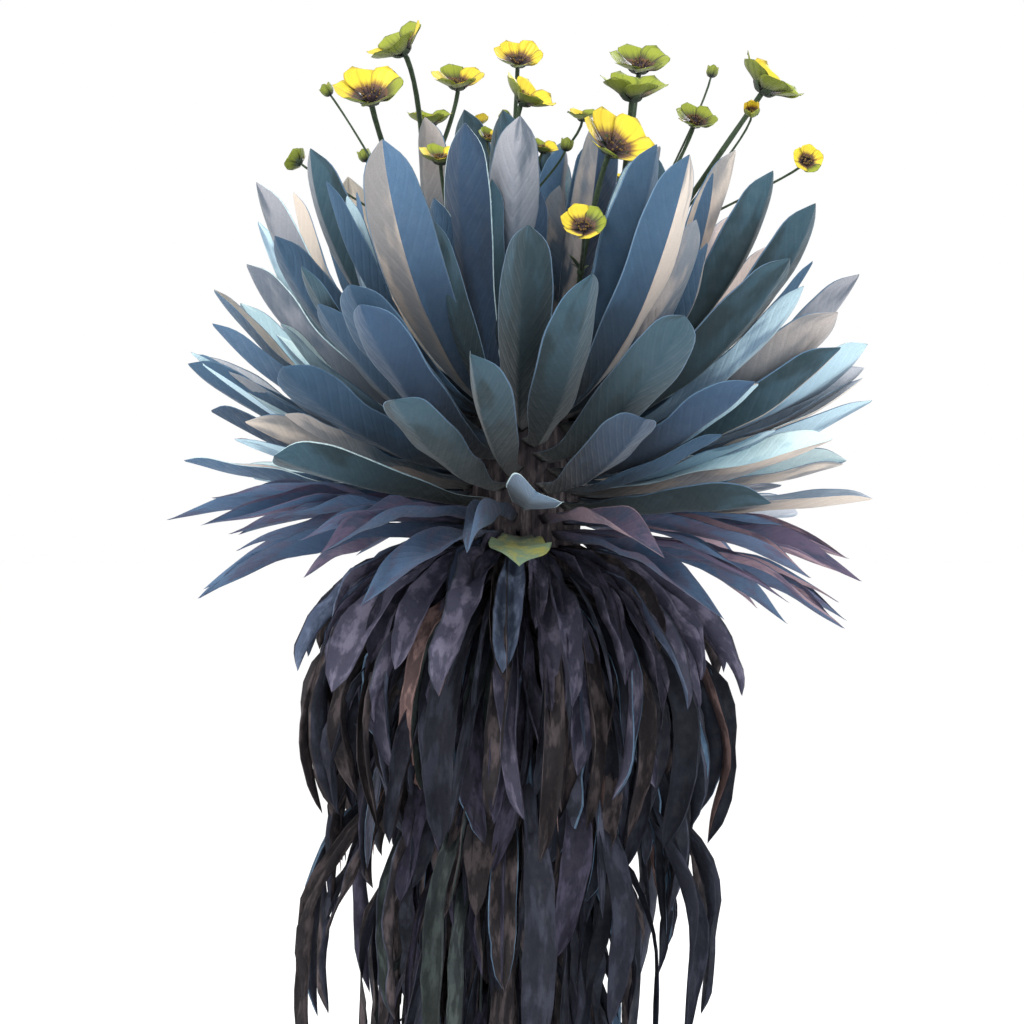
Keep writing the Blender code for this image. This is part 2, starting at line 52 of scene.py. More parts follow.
# Camera: the photograph's place, level, with the axis plane 1.28 m wide in its frame
CAMERA_PLACE = (0.052, -2.4, 1.09)
FRAME_WIDTH = 1.28
SENSOR = 36.0

# Trunk: height and radius of each ring
TRUNK_PROFILE = (
    (0.000, 0.150),
    (0.025, 0.134),
    (0.080, 0.112),
    (0.190, 0.100),
    (0.350, 0.095),
    (1.200, 0.076),
    (1.292, 0.052),
    (1.304, 0.030),
)
TRUNK_SIDES = 16
ROOT_LOBES = 5
ROOT_LOBE_DEPTH = 0.09
ROOT_LOBE_HEIGHT = 0.30
COLLAR_HEIGHT = 0.014
ROOT_COVER = 0.0012

# Leaf outlines: share of the length, and share of the full width there
LIVE_OUTLINE = ((0.0, 0.46), (0.14, 0.42), (0.38, 0.78), (0.66, 1.0), (0.84, 0.92), (0.94, 0.64), (1.0, 0.16))
FADING_OUTLINE = ((0.0, 0.50), (0.15, 0.50), (0.45, 0.86), (0.72, 1.0), (1.0, 0.0))
DEAD_OUTLINE = ((0.0, 0.42), (0.25, 0.66), (0.58, 1.0), (0.84, 0.84), (0.94, 0.50), (1.0, 0.0))

Form = namedtuple("Form", "outline thickness hollow")
LIVE_FORM = Form(LIVE_OUTLINE, 0.0064, 0.08)
FADING_FORM = Form(FADING_OUTLINE, 0.0056, 0.12)
DEAD_FORM = Form(DEAD_OUTLINE, 0.0044, 0.10)

# Tiers of leaves, lowest first: height, number of leaves, azimuth of the first, length, width, and the
# slope of the midrib at its foot and at its tip, in degrees, and the seed of the leaves' differences
Tier = namedtuple("Tier", "height leaves first length width slope_foot slope_tip seed")
FADING_TIERS = (
    Tier(1.062, 13, -84, 0.345, 0.050, 0, -30, 10437),
    Tier(1.080, 13, -97, 0.350, 0.052, 7, -20, 6812),
)
LIVE_TIERS = (
    Tier(1.099, 9, -90, 0.340, 0.062, 1, 6, 3000),
    Tier(1.117, 9, -70, 0.335, 0.064, 5, 20, 8625),
    Tier(1.136, 9, -96, 0.352, 0.066, 7, 25, 6332),
    Tier(1.154, 9, -72, 0.388, 0.068, 9, 31, 4298),
    Tier(1.172, 9, -79, 0.372, 0.068, 13, 39, 7037),
    Tier(1.190, 8, -93, 0.380, 0.068, 18, 49, 4004),
    Tier(1.207, 8, -112, 0.400, 0.068, 25, 64, 11183),
    Tier(1.223, 8, -68, 0.365, 0.068, 36, 71, 3451),
    Tier(1.239, 8, -103, 0.335, 0.066, 49, 76, 2601),
    Tier(1.266, 7, -64, 0.305, 0.064, 66, 83, 7782),
    Tier(1.284, 6, -90, 0.285, 0.062, 78, 90, 1011),
)
# Between the same foot and tip the leaves sag and sweep up: each tier's foot lies so many degrees lower
# and its tip so many higher, and an arc that bends so much is a little longer
SWEEP = (3, 5, 8, 10, 12, 13, 13, 13, 11, 5, 0)
SWEEP_LENGTH = 0.0017
# How far the leaves of a tier differ: in length as a share of it, in slope in degrees, in azimuth as a
# share of their spacing, in swing as a share of their length, and in roll in degrees
LENGTH_SPREAD = 0.07
SLOPE_SPREAD = 2.2
AZIMUTH_SPREAD = 0.10
BUD_SPREAD = 0.08
SWING_SPREAD = 0.05
ROLL_SPREAD = 45.0
# How many degrees a leaf may turn aside to clear a stalk, nearest first
ASIDES = (0, *(side * degrees for degrees in range(3, 22, 3) for side in (1, -1)))

# Bud on the trunk's tip, and the young leaves round it. They start inside it, at a share of its radius
BUD_FOOT = 1.3045
BUD_SEAT = 0.6
BUD_RINGS = 12
BUD_SIDES = 16
BUD_TIP_RADIUS = 0.001
BUD_TONE = 0.4
BUD_PROFILE = ((0.0, 0.029), (0.05, 0.032), (0.12, 0.020), (0.17, 0.0))
BUD_LEAVES = (
    Tier(0.012, 4, -45, 0.240, 0.062, 82, 89, 900),
    Tier(0.030, 3, -70, 0.215, 0.050, 84, 90, 901),
)

# Skirt of dead leaves, top level first. The midrib turns over the bend's share of its length and then
# hangs straight; the lift is how many degrees further out the leaves stand on the leaning side
Level = namedtuple("Level", "height leaves length width slope_foot slope_tip bend lift")
SKIRT_LEVELS = (
    Level(1.043, 8, 0.270, 0.054, -8, -70, 1.00, 0),
    Level(1.000, 9, 0.380, 0.058, -5, -102, 0.82, 0),
    Level(0.940, 7, 0.250, 0.054, -8, -92, 0.75, 0),
    Level(0.775, 5, 0.425, 0.060, -10, -93, 0.70, 9),
    Level(0.690, 6, 0.370, 0.052, -26, -91, 0.50, 13),
    Level(0.560, 6, 0.300, 0.046, -44, -89, 0.45, 0),
    Level(0.440, 5, 0.260, 0.042, -61, -89, 0.33, 0),
)
SKIRT_SECTORS = 3
# Each level's sectors are turned by so many degrees from those above, and short leaves have this length
SECTOR_STEP = 37.0
SHORT_LEAF = 0.86
# How far dead leaves differ: in the slopes of foot and tip in degrees, in swing, and in roll in degrees
Spread = namedtuple("Spread", "slope_foot slope_tip swing roll")
LEVEL_SPREAD = Spread((-2, 2), (-2, 2), 0.03, 12)

# Flower stalks: how far a cup's rim rises and how far below its flower a branch ends, in flower radii,
# radii in metres, how far a foot stands off the wall before it rises, and the heights where stalks start
RIM_RISE = 0.28
STALK_SEAT = 0.24
STALK_FOOT_RADIUS = 0.0042
STALK_FORK_RADIUS = 0.0034
KNUCKLE_RADIUS = 0.0062
BRANCH_RADIUS = (0.0014, 0.0034)
MAIN_STEPS = 5
BRANCH_STEPS = 3
STALK_STAND = 0.010
STALK_RISE = math.radians(60)
AXIL = 1.2525
SHOULDER = 1.297
STALK_SPARE = 0.006
# How hard the main run and the branches are pulled at their ends, as a share of their reach, how far a
# branch turns to its flower, and its radius as a share of the flower's width
MAIN_PULL = 0.8
BRANCH_PULL = 0.6
BRANCH_TURN = 1.4
BRANCH_SHARE = 0.042
# The points that leaves keep clear of: their step along a stalk, and their spokes and shares of the
# radius in a flower
OBSTACLE_STEP = 0.006
OBSTACLE_SPOKES = 12
OBSTACLE_SHARES = (0.35, 0.7, 1.0)

# Each flower: its place, its width, the azimuth that it leans to and how far it leans, in degrees
Flower = namedtuple("Flower", "place width faces lean")
# Each stalk: the facet of the trunk's wall that it stands on, its height there, its fork, its flowers
Stalk = namedtuple("Stalk", "name facet foot fork flowers")
STALKS = (
    Stalk("left", 7, AXIL, (-0.150, 0.010, 1.420), (
        Flower((-0.210, -0.100, 1.584), 0.085, -100, 42),
        Flower((-0.304, 0.000, 1.514), 0.034, 150, 55),
        Flower((-0.279, 0.080, 1.619), 0.024, 180, 40),
        Flower((-0.230, 0.120, 1.544), 0.024, 150, 25),
    )),
    Stalk("back_left", 6, AXIL, (-0.146, 0.080, 1.490), (
        Flower((-0.183, -0.040, 1.657), 0.077, 215, 45),
        Flower((-0.149, 0.120, 1.600), 0.060, -90, 18),
        Flower((-0.115, 0.140, 1.658), 0.070, -95, 30),
    )),
    Stalk("front_left", 10, AXIL, (-0.095, -0.105, 1.390), (
        Flower((-0.118, -0.150, 1.503), 0.053, -90, 26),
        Flower((-0.149, -0.200, 1.429), 0.022, -120, 8),
    )),
    Stalk("back", 4, AXIL, (-0.036, 0.160, 1.490), (
        Flower((-0.037, 0.100, 1.682), 0.065, -90, 42),
        Flower((-0.089, 0.160, 1.605), 0.040, -120, 35),
        Flower((-0.048, 0.200, 1.623), 0.024, 130, 60),
        Flower((0.054, 0.200, 1.633), 0.043, -90, 18),
    )),
    Stalk("front", 11, SHOULDER, (-0.022, -0.096, 1.450), (
        Flower((-0.022, -0.090, 1.593), 0.069, -35, 38),
        Flower((-0.065, -0.060, 1.546), 0.030, -60, 45),
        Flower((0.002, -0.100, 1.529), 0.036, -60, 30),
        Flower((0.029, -0.080, 1.535), 0.022, 20, 10),
    )),
    Stalk("front_right", 13, AXIL, (0.054, -0.125, 1.380), (
        Flower((0.083, -0.200, 1.521), 0.089, -62, 50),
        Flower((0.051, -0.250, 1.417), 0.052, -95, 55),
    )),
    Stalk("right", 0, SHOULDER, (0.104, 0.022, 1.470), (
        Flower((0.119, 0.050, 1.674), 0.078, -90, 35),
        Flower((0.104, -0.120, 1.602), 0.082, -84, 17),
        Flower((0.105, 0.100, 1.533), 0.034, -90, 20),
    )),
    Stalk("back_right", 1, AXIL, (0.128, 0.090, 1.440), (
        Flower((0.202, 0.140, 1.624), 0.057, -80, 42),
        Flower((0.225, 0.200, 1.699), 0.022, 60, 20),
        Flower((0.178, 0.190, 1.500), 0.026, 90, 10),
    )),
    Stalk("far_right", 15, AXIL, (0.152, -0.024, 1.430), (
        Flower((0.277, -0.020, 1.642), 0.090, -29, 34),
        Flower((0.253, -0.060, 1.595), 0.027, -100, 60),
        Flower((0.325, -0.050, 1.542), 0.038, -80, 72),
    )),
    Stalk("far_back", 3, AXIL, (0.040, 0.132, 1.390), (
        Flower((0.075, 0.270, 1.490), 0.056, 75, 35),
        Flower((-0.040, 0.265, 1.455), 0.044, 105, 45),
    )),
)

# A cup has an outline, from foot to rim: distance from the flower's axis and height along it, in flower
# radii. Each kind has a number of petals, and flowers have it from a least width up
Cup = namedtuple("Cup", "least_width petals outline")
OPEN_CUP = ((0.05, -0.27), (0.28, -0.21), (0.54, -0.08), (0.80, 0.08), (1.00, 0.27))
CLOSED_CUP = ((0.08, -0.42), (0.40, -0.30), (0.66, 0.00), (0.74, 0.42), (0.70, 0.86))
CUPS = (Cup(0.045, 6, OPEN_CUP), Cup(0.030, 5, OPEN_CUP), Cup(0.000, 5, CLOSED_CUP))

# A cut is how a kind of leaf is shaped in fine: its rows and columns, how far its halves fold up at the
# midrib and how far its margins curl up, in degrees, the depths in metres of its midrib, of the waves
# along its margins and of its crumples, how far it twists in degrees, how ragged its margins are as a
# share of its width, how thick it is in metres, and the share of its length that rounds off at the tip
Cut = namedtuple("Cut", "rows columns fold curl rib waves crumple twist ragged thickness rounding")
FINE_COLUMNS = (-1.0, -0.955, -0.70, -0.42, -0.17, -0.04, 0.04, 0.17, 0.42, 0.70, 0.955, 1.0)
DRY_COLUMNS = (-1.0, -0.90, -0.45, -0.06, 0.06, 0.45, 0.90, 1.0)
LIVE_CUT = Cut(26, FINE_COLUMNS, (12, 34), (8, 30), 0.0018, 0.0024, 0.0018, 0, 0.0, 0.0030, 0.05)
FADING_CUT = Cut(22, FINE_COLUMNS, (10, 40), (40, 100), 0.0012, 0.0034, 0.0030, 22, 0.03, 0.0022, 0.04)
DEAD_CUT = Cut(18, DRY_COLUMNS, (4, 36), (30, 100), 0.0010, 0.0030, 0.0044, 45, 0.12, 0.0014, 0.02)
FOOT_SINK = 0.010
# The rows of a leaf crowd towards its tip
ROW_CROWDING = 1.5
# The least width of a leaf, as a share of its full width
LEAST_WIDTH = 0.03
# How many waves run along a margin, how many sets of crumples cross a leaf, how many crumples are in a
# set, how far they slant, and how bluntly waves and crumples fade towards both ends
WAVE_TURNS = (1.6, 3.4)
CRUMPLE_SETS = 3
CRUMPLE_TURNS = (1.0, 4.0)
CRUMPLE_SLANT = 0.5
RELIEF_FADE = 0.6
# The midrib's half width, as a share of the leaf's, and how much of its depth it loses towards the tip
RIB_WIDTH = 0.10
RIB_LOSS = 0.8
# The leaf is at its full thickness after one such part of its length, and loses this share by the tip
THICKENING = 12
THINNING = 0.6
# A live leaf laid flat is this much wider than it is folded and curled
LAID_FLAT = 1.12
# Steps along a leaf at which it is tried against the stalks
CLEARANCE_STEPS = 24
# Leaves narrower than this have shallower waves and ribs
FULL_RELIEF_WIDTH = 0.040

# Where the random draws of each kind begin, and how far apart those of its tiers, levels, sectors, rows
# and stalks lie. The shapes of live and fading leaves are drawn so far after their tints
LIVE_SEED, LIVE_FILLING_SEED, BUD_LEAF_SEED, LIVE_SHAPES = 5000, 5400, 5900, 1000
FADING_SEED, FADING_FILLING_SEED, FADING_SHAPES = 7000, 7400, 500
TIER_SEEDS = 40
LEVEL_SEED, LEVEL_SEEDS, SECTOR_SEEDS = 8000, 100, 30
ROW_SHAPE_SEED, ROW_SEED, ROW_SEEDS = 3000, 9500, 50
PETAL_SEED, HEART_SEED, SEPAL_SEED, BRACT_SEED, STALK_SEEDS = 4000, 4300, 4600, 4700, 20
BARK_SEED = 11

# Zones of a leaf's surface, each with its own material. The far half lies beyond the midrib
UPPER, LOWER, EDGE, FAR_UPPER, FAR_LOWER = 0, 1, 2, 3, 4


def outward(azimuth):
    """The level direction away from the trunk's axis at an azimuth in radians."""
    return np.array((math.cos(azimuth), math.sin(azimuth), 0.0))


def between(table, value):
    """Reads a table of (key, value) rows at a key, straight between its rows."""
    keys, values = np.array(table).T
    return np.interp(value, keys, values)


def smoothly_between(table, shares):
    """Reads a table of (key, value) rows at many keys, on a smooth curve through its rows."""
    keys, values = np.array(table, float).T
    slopes = np.gradient(values, keys)
    row = np.clip(np.searchsorted(keys, shares) - 1, 0, len(keys) - 2)
    span = keys[row + 1] - keys[row]
    t = (shares - keys[row]) / span
    rise = values[row] * (1 + 2 * t) * (1 - t) ** 2 + values[row + 1] * t * t * (3 - 2 * t)
    return rise + span * (slopes[row] * t * (1 - t) ** 2 + slopes[row + 1] * t * t * (t - 1))


def unit(rows):
    """Vectors, one in each row, made one long."""
    return rows / np.linalg.norm(rows, axis=-1, keepdims=True)


def lattice_noise(across, along, cells_across, cells_along, seed):
    """Smooth noise from 0 to 1 over two numbers that run from 0 to 1. It repeats in the first one."""
    lattice = np.random.default_rng(seed).random((cells_across, cells_along + 2))
    x, y = across * cells_across, along * cells_along
    column, row = np.floor(x).astype(int), np.clip(np.floor(y).astype(int), 0, cells_along)
    u, v = x - column, y - row
    u, v = u * u * (3 - 2 * u), v * v * (3 - 2 * v)
    left, right = column % cells_across, (column + 1) % cells_across
    low = lattice[left, row] * (1 - u) + lattice[right, row] * u
    high = lattice[left, row + 1] * (1 - u) + lattice[right, row + 1] * u
    return low * (1 - v) + high * v


def leaned(points):
    """Points of the upright plant, moved to where its lean takes them."""
    x, y, z = points.T
    return np.stack((x * math.cos(LEAN) + z * math.sin(LEAN), y, z * math.cos(LEAN) - x * math.sin(LEAN)), 1)


class Mass:
    """Collects many small surfaces, which are then joined into one piece."""

    def __init__(self):
        self.points, self.faces, self.kinds, self.marks = [], [], [], []
        self.count = 0

    def add(self, points, faces, kinds, along, across, tone):
        """Adds points, triangles with the number of a material for each, and the marks of the points."""
        self.points.append(points)
        self.faces.append(faces + self.count)
        self.kinds.append(kinds)
        self.marks.append(np.stack((along, across, np.full(len(points), tone)), 1))
        self.count += len(points)

    def add_sheet(self, upper, lower, palette, along, across, tone):
        """Adds a closed thin sheet between two grids of points. The palette has a material for each zone."""
        faces, zones = sheet_faces(*upper.shape[:2])
        marks = (sheet_marks(mark) for mark in np.broadcast_arrays(along, across))
        self.add(sheet_points(upper, lower), faces, np.array(palette)[zones], *marks, tone)

    def join(self, name, materials):
        """One mesh object of all that was added, leaned with the plant."""
        faces = np.concatenate(self.faces).astype(np.int32)
        mesh = bpy.data.meshes.new(name)
        mesh.vertices.add(self.count)
        mesh.vertices.foreach_set("co", leaned(np.concatenate(self.points)).astype(np.float32).ravel())
        mesh.loops.add(faces.size)
        mesh.loops.foreach_set("vertex_index", faces.ravel())
        mesh.polygons.add(len(faces))
        mesh.polygons.foreach_set("loop_start", np.arange(0, faces.size, faces.shape[1], dtype=np.int32))
        mesh.polygons.foreach_set("material_index", np.concatenate(self.kinds).astype(np.int32))
        mesh.polygons.foreach_set("use_smooth", np.ones(len(faces), bool))
        for i, mark in enumerate(("along", "across", "tone")):
            layer = mesh.attributes.new(mark, "FLOAT", "POINT")
            layer.data.foreach_set("value", np.concatenate(self.marks)[:, i].astype(np.float32))
        mesh.update(calc_edges=True)
        for material in materials:
            mesh.materials.append(material)
        piece = bpy.data.objects.new(name, mesh)
        bpy.context.scene.collection.objects.link(piece)
        return piece


def halved(quads):
    """Each quad as two triangles, both sides of a thin sheet cut along the same diagonal."""
    return quads[:, (0, 1, 2, 0, 2, 3)].reshape(-1, 3)


def grid_faces(rows, columns, wrap=False):
    """Triangles between the points of a grid, row by row. A wrapped grid closes round its columns."""
    index = np.arange(rows * columns).reshape(rows, columns)
    right = np.roll(index, -1, axis=1)
    if not wrap:
        index, right = index[:, :-1], right[:, :-1]
    return halved(np.stack((index[:-1], right[:-1], right[1:], index[1:]), -1).reshape(-1, 4))


def sheet_faces(rows, columns):
    """Triangles of a closed thin sheet: an upper grid, and a lower one that shares the upper one's border."""
    upper = np.arange(rows * columns).reshape(rows, columns)
    lower = upper.copy()
    lower[1:-1, 1:-1] = rows * columns + np.arange((rows - 2) * (columns - 2)).reshape(rows - 2, columns - 2)
    faces, zones = [], []
    for grid, zone, far_zone, turned in ((upper, UPPER, FAR_UPPER, False), (lower, LOWER, FAR_LOWER, True)):
        quads = np.stack((grid[:-1, :-1], grid[:-1, 1:], grid[1:, 1:], grid[1:, :-1]), -1)
        triangles = halved(quads.reshape(-1, 4))
        faces.append(triangles[:, ::-1] if turned else triangles)
        zone_of = np.full((rows - 1, columns - 1), zone)
        zone_of[:, (columns - 1) // 2:] = far_zone
        zone_of[:, 0] = zone_of[:, -1] = EDGE
        zones.append(np.repeat(zone_of.reshape(-1), 2))
    faces, zones = np.concatenate(faces), np.concatenate(zones)
    # At two corners both grids have a triangle on the same three points of the border: neither is needed
    border = np.ones(lower.max() + 1, bool)
    border[upper[1:-1, 1:-1]] = border[lower[1:-1, 1:-1]] = False
    needed = ~border[faces].all(axis=1)
    return faces[needed], zones[needed]


def sheet_points(upper, lower):
    """The points of such a sheet, from its two grids of points."""
    return np.concatenate((upper.reshape(-1, 3), lower[1:-1, 1:-1].reshape(-1, 3)))


def sheet_marks(values):
    """A mark for each point of such a sheet, from a grid of marks."""
    return np.concatenate((values.reshape(-1), values[1:-1, 1:-1].reshape(-1)))


# A blade is one leaf: where it leaves the axis, its size, and how its midrib runs: its slopes, the share
# of its length that it bends over, how far it swings aside and rolls, and where its bend begins
BLADE_FIELDS = "azimuth height radius length width slope_foot slope_tip bend swing roll kink"
Blade = namedtuple("Blade", BLADE_FIELDS, defaults=(1.0, 0.0, 0.0, 0.0))


def midribs(blade, shares):
    """Places, headings, sides and upper faces of a blade at shares of its length.

    It runs straight as far as its kink, turns over its bend and then runs straight again.
    """
    before = np.minimum(shares, blade.kink)
    bent = np.clip(shares - blade.kink, 0, blade.bend)
    after = shares - before - bent
    turn = blade.slope_tip - blade.slope_foot
    slope = blade.slope_foot + turn * bent / blade.bend
    sine, cosine = math.sin(blade.slope_foot), math.cos(blade.slope_foot)
    reach = before * cosine + blade.bend / turn * (np.sin(slope) - sine) + after * np.cos(slope)
    climb = before * sine + blade.bend / turn * (cosine - np.cos(slope)) + after * np.sin(slope)
    out, across = outward(blade.azimuth), outward(blade.azimuth + FULL_TURN / 4)
    swing = blade.swing * blade.length * shares**2
    place = (
        np.outer(blade.radius + reach * blade.length, out)
        + np.outer(blade.height + climb * blade.length, UP)
        + np.outer(swing, across)
    )
    heading = np.outer(np.cos(slope), out) + np.outer(np.sin(slope), UP)
    heading = unit(heading + np.outer(2 * blade.swing * shares, across))
    side = unit(across - heading * (heading @ across)[:, None])
    roll = (blade.roll * shares)[:, None]
    side = side * np.cos(roll) + np.cross(heading, side) * np.sin(roll)
    return place, heading, side, np.cross(heading, side)


def is_clear(blade, form, obstacles):
    """True if no obstacle point lies in or close to the blade."""
    shares = np.arange(1, CLEARANCE_STEPS + 1) / CLEARANCE_STEPS
    place, heading, side, face = midribs(blade, shares)
    half = blade.width * between(form.outline, shares)[:, None] / 2
    apart = obstacles[None] - place[:, None]
    near = np.abs((apart * heading[:, None]).sum(-1)) < blade.length / CLEARANCE_STEPS
    near &= np.abs((apart * side[:, None]).sum(-1)) < half + STALK_SPARE
    near &= np.abs((apart * face[:, None]).sum(-1)) < form.hollow * half + form.thickness / 2 + STALK_SPARE
    return not near.any()


def tip_of(blade):
    """The place of a blade's tip."""
    return midribs(blade, np.ones(1))[0][0]


def trunk_radius(height):
    """The trunk's radius at a height."""
    return float(between(TRUNK_PROFILE, height))


def root_radius(height, slope, form):
    """How far from the axis a blade starts."""
    foot = form.thickness / 2 * abs(math.sin(slope))
    return trunk_radius(height - COLLAR_HEIGHT / 2) + GAP + ROOT_COVER + foot


def rooted(azimuth, height, length, width, slopes, form, **bearing):
    """A blade that starts just clear of the trunk."""
    radius = root_radius(height, slopes[0], form)
    return Blade(azimuth, height, radius, length, width, *slopes, **bearing)


def tier_blades(tier, form, obstacles):
    """The leaves of one tier. A leaf that would touch a flower stalk turns aside, or is left out."""
    draw = Random(tier.seed)
    spacing = FULL_TURN / tier.leaves
    blades = []
    for i in range(tier.leaves):
        aim = math.radians(tier.first) + spacing * (i + draw.uniform(-1, 1) * AZIMUTH_SPREAD)
        tilt = math.radians(draw.uniform(-1, 1) * SLOPE_SPREAD)
        length = tier.length * (1 + draw.uniform(-1, 1) * LENGTH_SPREAD)
        swing = draw.uniform(-1, 1) * SWING_SPREAD
        roll = math.radians(draw.uniform(-1, 1) * ROLL_SPREAD)
        slopes = (math.radians(tier.slope_foot) + tilt / 2, math.radians(tier.slope_tip) + tilt * 2)
        blade = rooted(aim, tier.height, length, tier.width, slopes, form, swing=swing, roll=roll)
        for aside in ASIDES:
            turned = blade._replace(azimuth=(aim + math.radians(aside)) % FULL_TURN)
            if is_clear(turned, form, obstacles):
                blades.append(turned)
                break
    return blades


def dead_blade(level, azimuth, height, length, width, draw, spread):
    """A dead leaf that hangs like its level's. Its tip hangs plumb once the plant leans."""
    foot = level.slope_foot + level.lift * math.cos(azimuth) + draw.uniform(*spread.slope_foot)
    tip = level.slope_tip + draw.uniform(*spread.slope_tip)
    slopes = (math.radians(foot), math.radians(tip) + LEAN * math.cos(azimuth))
    bearing = {
        "bend": level.bend,
        "swing": draw.uniform(-spread.swing, spread.swing),
        "roll": math.radians(draw.uniform(-spread.roll, spread.roll)),
    }
    return rooted(azimuth, height, length, width, slopes, DEAD_FORM, **bearing)


def level_blades(level, start, seed):
    """The dead leaves of one sector of a skirt level. Every second one is shorter."""
    draw = Random(seed)
    width = FULL_TURN / SKIRT_SECTORS
    blades = []
    for i in range(level.leaves):
        azimuth = start + width * (i + 0.5 + draw.uniform(-AZIMUTH_SPREAD, AZIMUTH_SPREAD)) / level.leaves
        share = SHORT_LEAF if i % 2 else 1.0
        length = level.length * share * (1 + draw.uniform(-LENGTH_SPREAD, LENGTH_SPREAD))
        blades.append(dead_blade(level, azimuth, level.height, length, level.width, draw, LEVEL_SPREAD))
    return blades


def bud_blades(obstacles):
    """The erect young leaves round the bud."""
    blades = []
    for tier in BUD_LEAVES:
        draw = Random(tier.seed)
        radius = between(BUD_PROFILE, tier.height) * BUD_SEAT
        slopes = (math.radians(tier.slope_foot), math.radians(tier.slope_tip))
        for i in range(tier.leaves):
            turn = FULL_TURN * (i + draw.uniform(-BUD_SPREAD, BUD_SPREAD)) / tier.leaves
            azimuth = math.radians(tier.first) + turn
            length = tier.length * (1 + draw.uniform(-LENGTH_SPREAD, LENGTH_SPREAD))
            blade = Blade(azimuth, BUD_FOOT + tier.height, radius, length, tier.width, *slopes)
            if is_clear(blade, LIVE_FORM, obstacles):
                blades.append(blade)
    return blades


def rounded(t, least):
    """The width of a round cap, at places from its middle at 0 to its top at 1."""
    return np.sqrt(np.maximum(1 - t**2, least))


def leaf_width(form, cut, shares, draw):
    """Share of the full width along a leaf: smooth, rounded at the tip, with ragged margins if it is dry."""
    wide = np.maximum(smoothly_between(form.outline, shares), LEAST_WIDTH)
    wide = wide * rounded(np.clip((shares - (1 - cut.rounding)) / cut.rounding, 0, 1), 0.01)
    if cut.ragged:
        wide = wide * (1 - cut.ragged * np.array([draw.random() for _ in shares]))
    return wide


def roughened(lift, cut, s, u, draw):
    """Adds waves along both margins and crumples all over to the lift of a leaf's surface."""
    body = np.sin(np.pi * np.clip(s, 0, 1)) ** RELIEF_FADE
    for sign in (-1, 1):
        on_side = np.clip(sign * u, 0, 1) ** 2
        phase, turns = draw.random(), draw.uniform(*WAVE_TURNS)
        lift = lift + cut.waves * np.sin(FULL_TURN * (turns * s + phase)) * on_side * body
    for _ in range(CRUMPLE_SETS):
        phase, turns = draw.random(), draw.uniform(*CRUMPLE_TURNS)
        slant = draw.uniform(-CRUMPLE_SLANT, CRUMPLE_SLANT)
        lift = lift + cut.crumple / 2 * np.sin(FULL_TURN * (turns * s + slant * u + phase)) * body
    return lift


def add_leaf(mass, blade, form, cut, palette, seed):
    """Grows one leaf into a mass: a closed thin sheet with a midrib, curled, waved and crumpled.

    The palette gives the material of each zone of its surface.
    """
    draw = Random(seed)
    t = np.linspace(0, 1, cut.rows + 1)
    shares = 1 - (1 - t) ** ROW_CROWDING
    place, heading, side, face = midribs(blade, shares)
    twist = np.radians(draw.uniform(-cut.twist, cut.twist)) * shares**2
    side, face = (
        side * np.cos(twist)[:, None] + face * np.sin(twist)[:, None],
        face * np.cos(twist)[:, None] - side * np.sin(twist)[:, None],
    )
    place[0] -= heading[0] * FOOT_SINK
    half = blade.width / 2 * leaf_width(form, cut, shares, draw)
    curl = math.radians(draw.uniform(*cut.curl))
    fold = math.radians(draw.uniform(*cut.fold))
    u = np.array(cut.columns)[None]
    s = shares[:, None]

    # Each half of the leaf folds up at the midrib and then follows an arc of the curl's angle
    turned = fold + curl * np.abs(u)
    aside = np.sign(u) * (np.sin(turned) - math.sin(fold)) / curl * half[:, None]
    lift = (math.cos(fold) - np.cos(turned)) / curl * half[:, None]
    depth = min(1.0, blade.width / FULL_RELIEF_WIDTH)
    lift = roughened(lift, cut, s, u, draw) * depth
    rib = np.exp(-((u / RIB_WIDTH) ** 2)) * (1 - RIB_LOSS * s) * depth
    thick = cut.thickness / 2 * (1 - np.abs(u) ** 3) * np.clip(THICKENING * s, 0, 1) * (1 - THINNING * s)
    middle = place[:, None] + side[:, None] * aside[..., None]
    upper = middle + face[:, None] * (lift + thick - 0.5 * cut.rib * rib)[..., None]
    lower = middle + face[:, None] * (lift - thick - cut.rib * rib)[..., None]
    mass.add_sheet(upper, lower, palette, s, u, draw.random())


def curve_through(start, start_pull, end, end_pull, steps):
    """Points of a smooth curve that leaves one place and reaches another with given pulls."""
    t = np.linspace(0, 1, steps + 1)[:, None]
    place = start * (2 * t**3 - 3 * t**2 + 1) + start_pull * (t**3 - 2 * t**2 + t)
    return place + end * (3 * t**2 - 2 * t**3) + end_pull * (t**3 - t**2)


def flower_axis(flower):
    """The direction that a flower opens to."""
    tip = math.radians(flower.lean)
    return outward(math.radians(flower.faces)) * math.sin(tip) + UP * math.cos(tip)


def seat(flower):
    """A flower's place, axis and radius."""
    return np.array(flower.place), flower_axis(flower), flower.width / 2


def spokes_of(flower, count):
    """Directions square to a flower's axis, evenly round it."""
    axis = Vector(flower_axis(flower))
    start = axis.orthogonal().normalized()
    return [np.array(Matrix.Rotation(FULL_TURN * i / count, 3, axis) @ start) for i in range(count)]


def stalk_heading(stalk):
    """The level direction that a stalk's foot points in, the middle of its facet."""
    return outward(FULL_TURN / TRUNK_SIDES * (stalk.facet + 0.5))


def stalk_foot(stalk):
    """Where a stalk stands on the trunk's wall, and the direction square to the wall there."""
    low, high = next(rows for rows in zip(TRUNK_PROFILE, TRUNK_PROFILE[1:]) if stalk.foot <= rows[1][0])
    flat = math.cos(FULL_TURN / TRUNK_SIDES / 2)
    out = stalk_heading(stalk)
    square = unit(out * (high[0] - low[0]) + UP * (low[1] - high[1]) * flat)
    return out * trunk_radius(stalk.foot) * flat + UP * stalk.foot + square * GAP, square


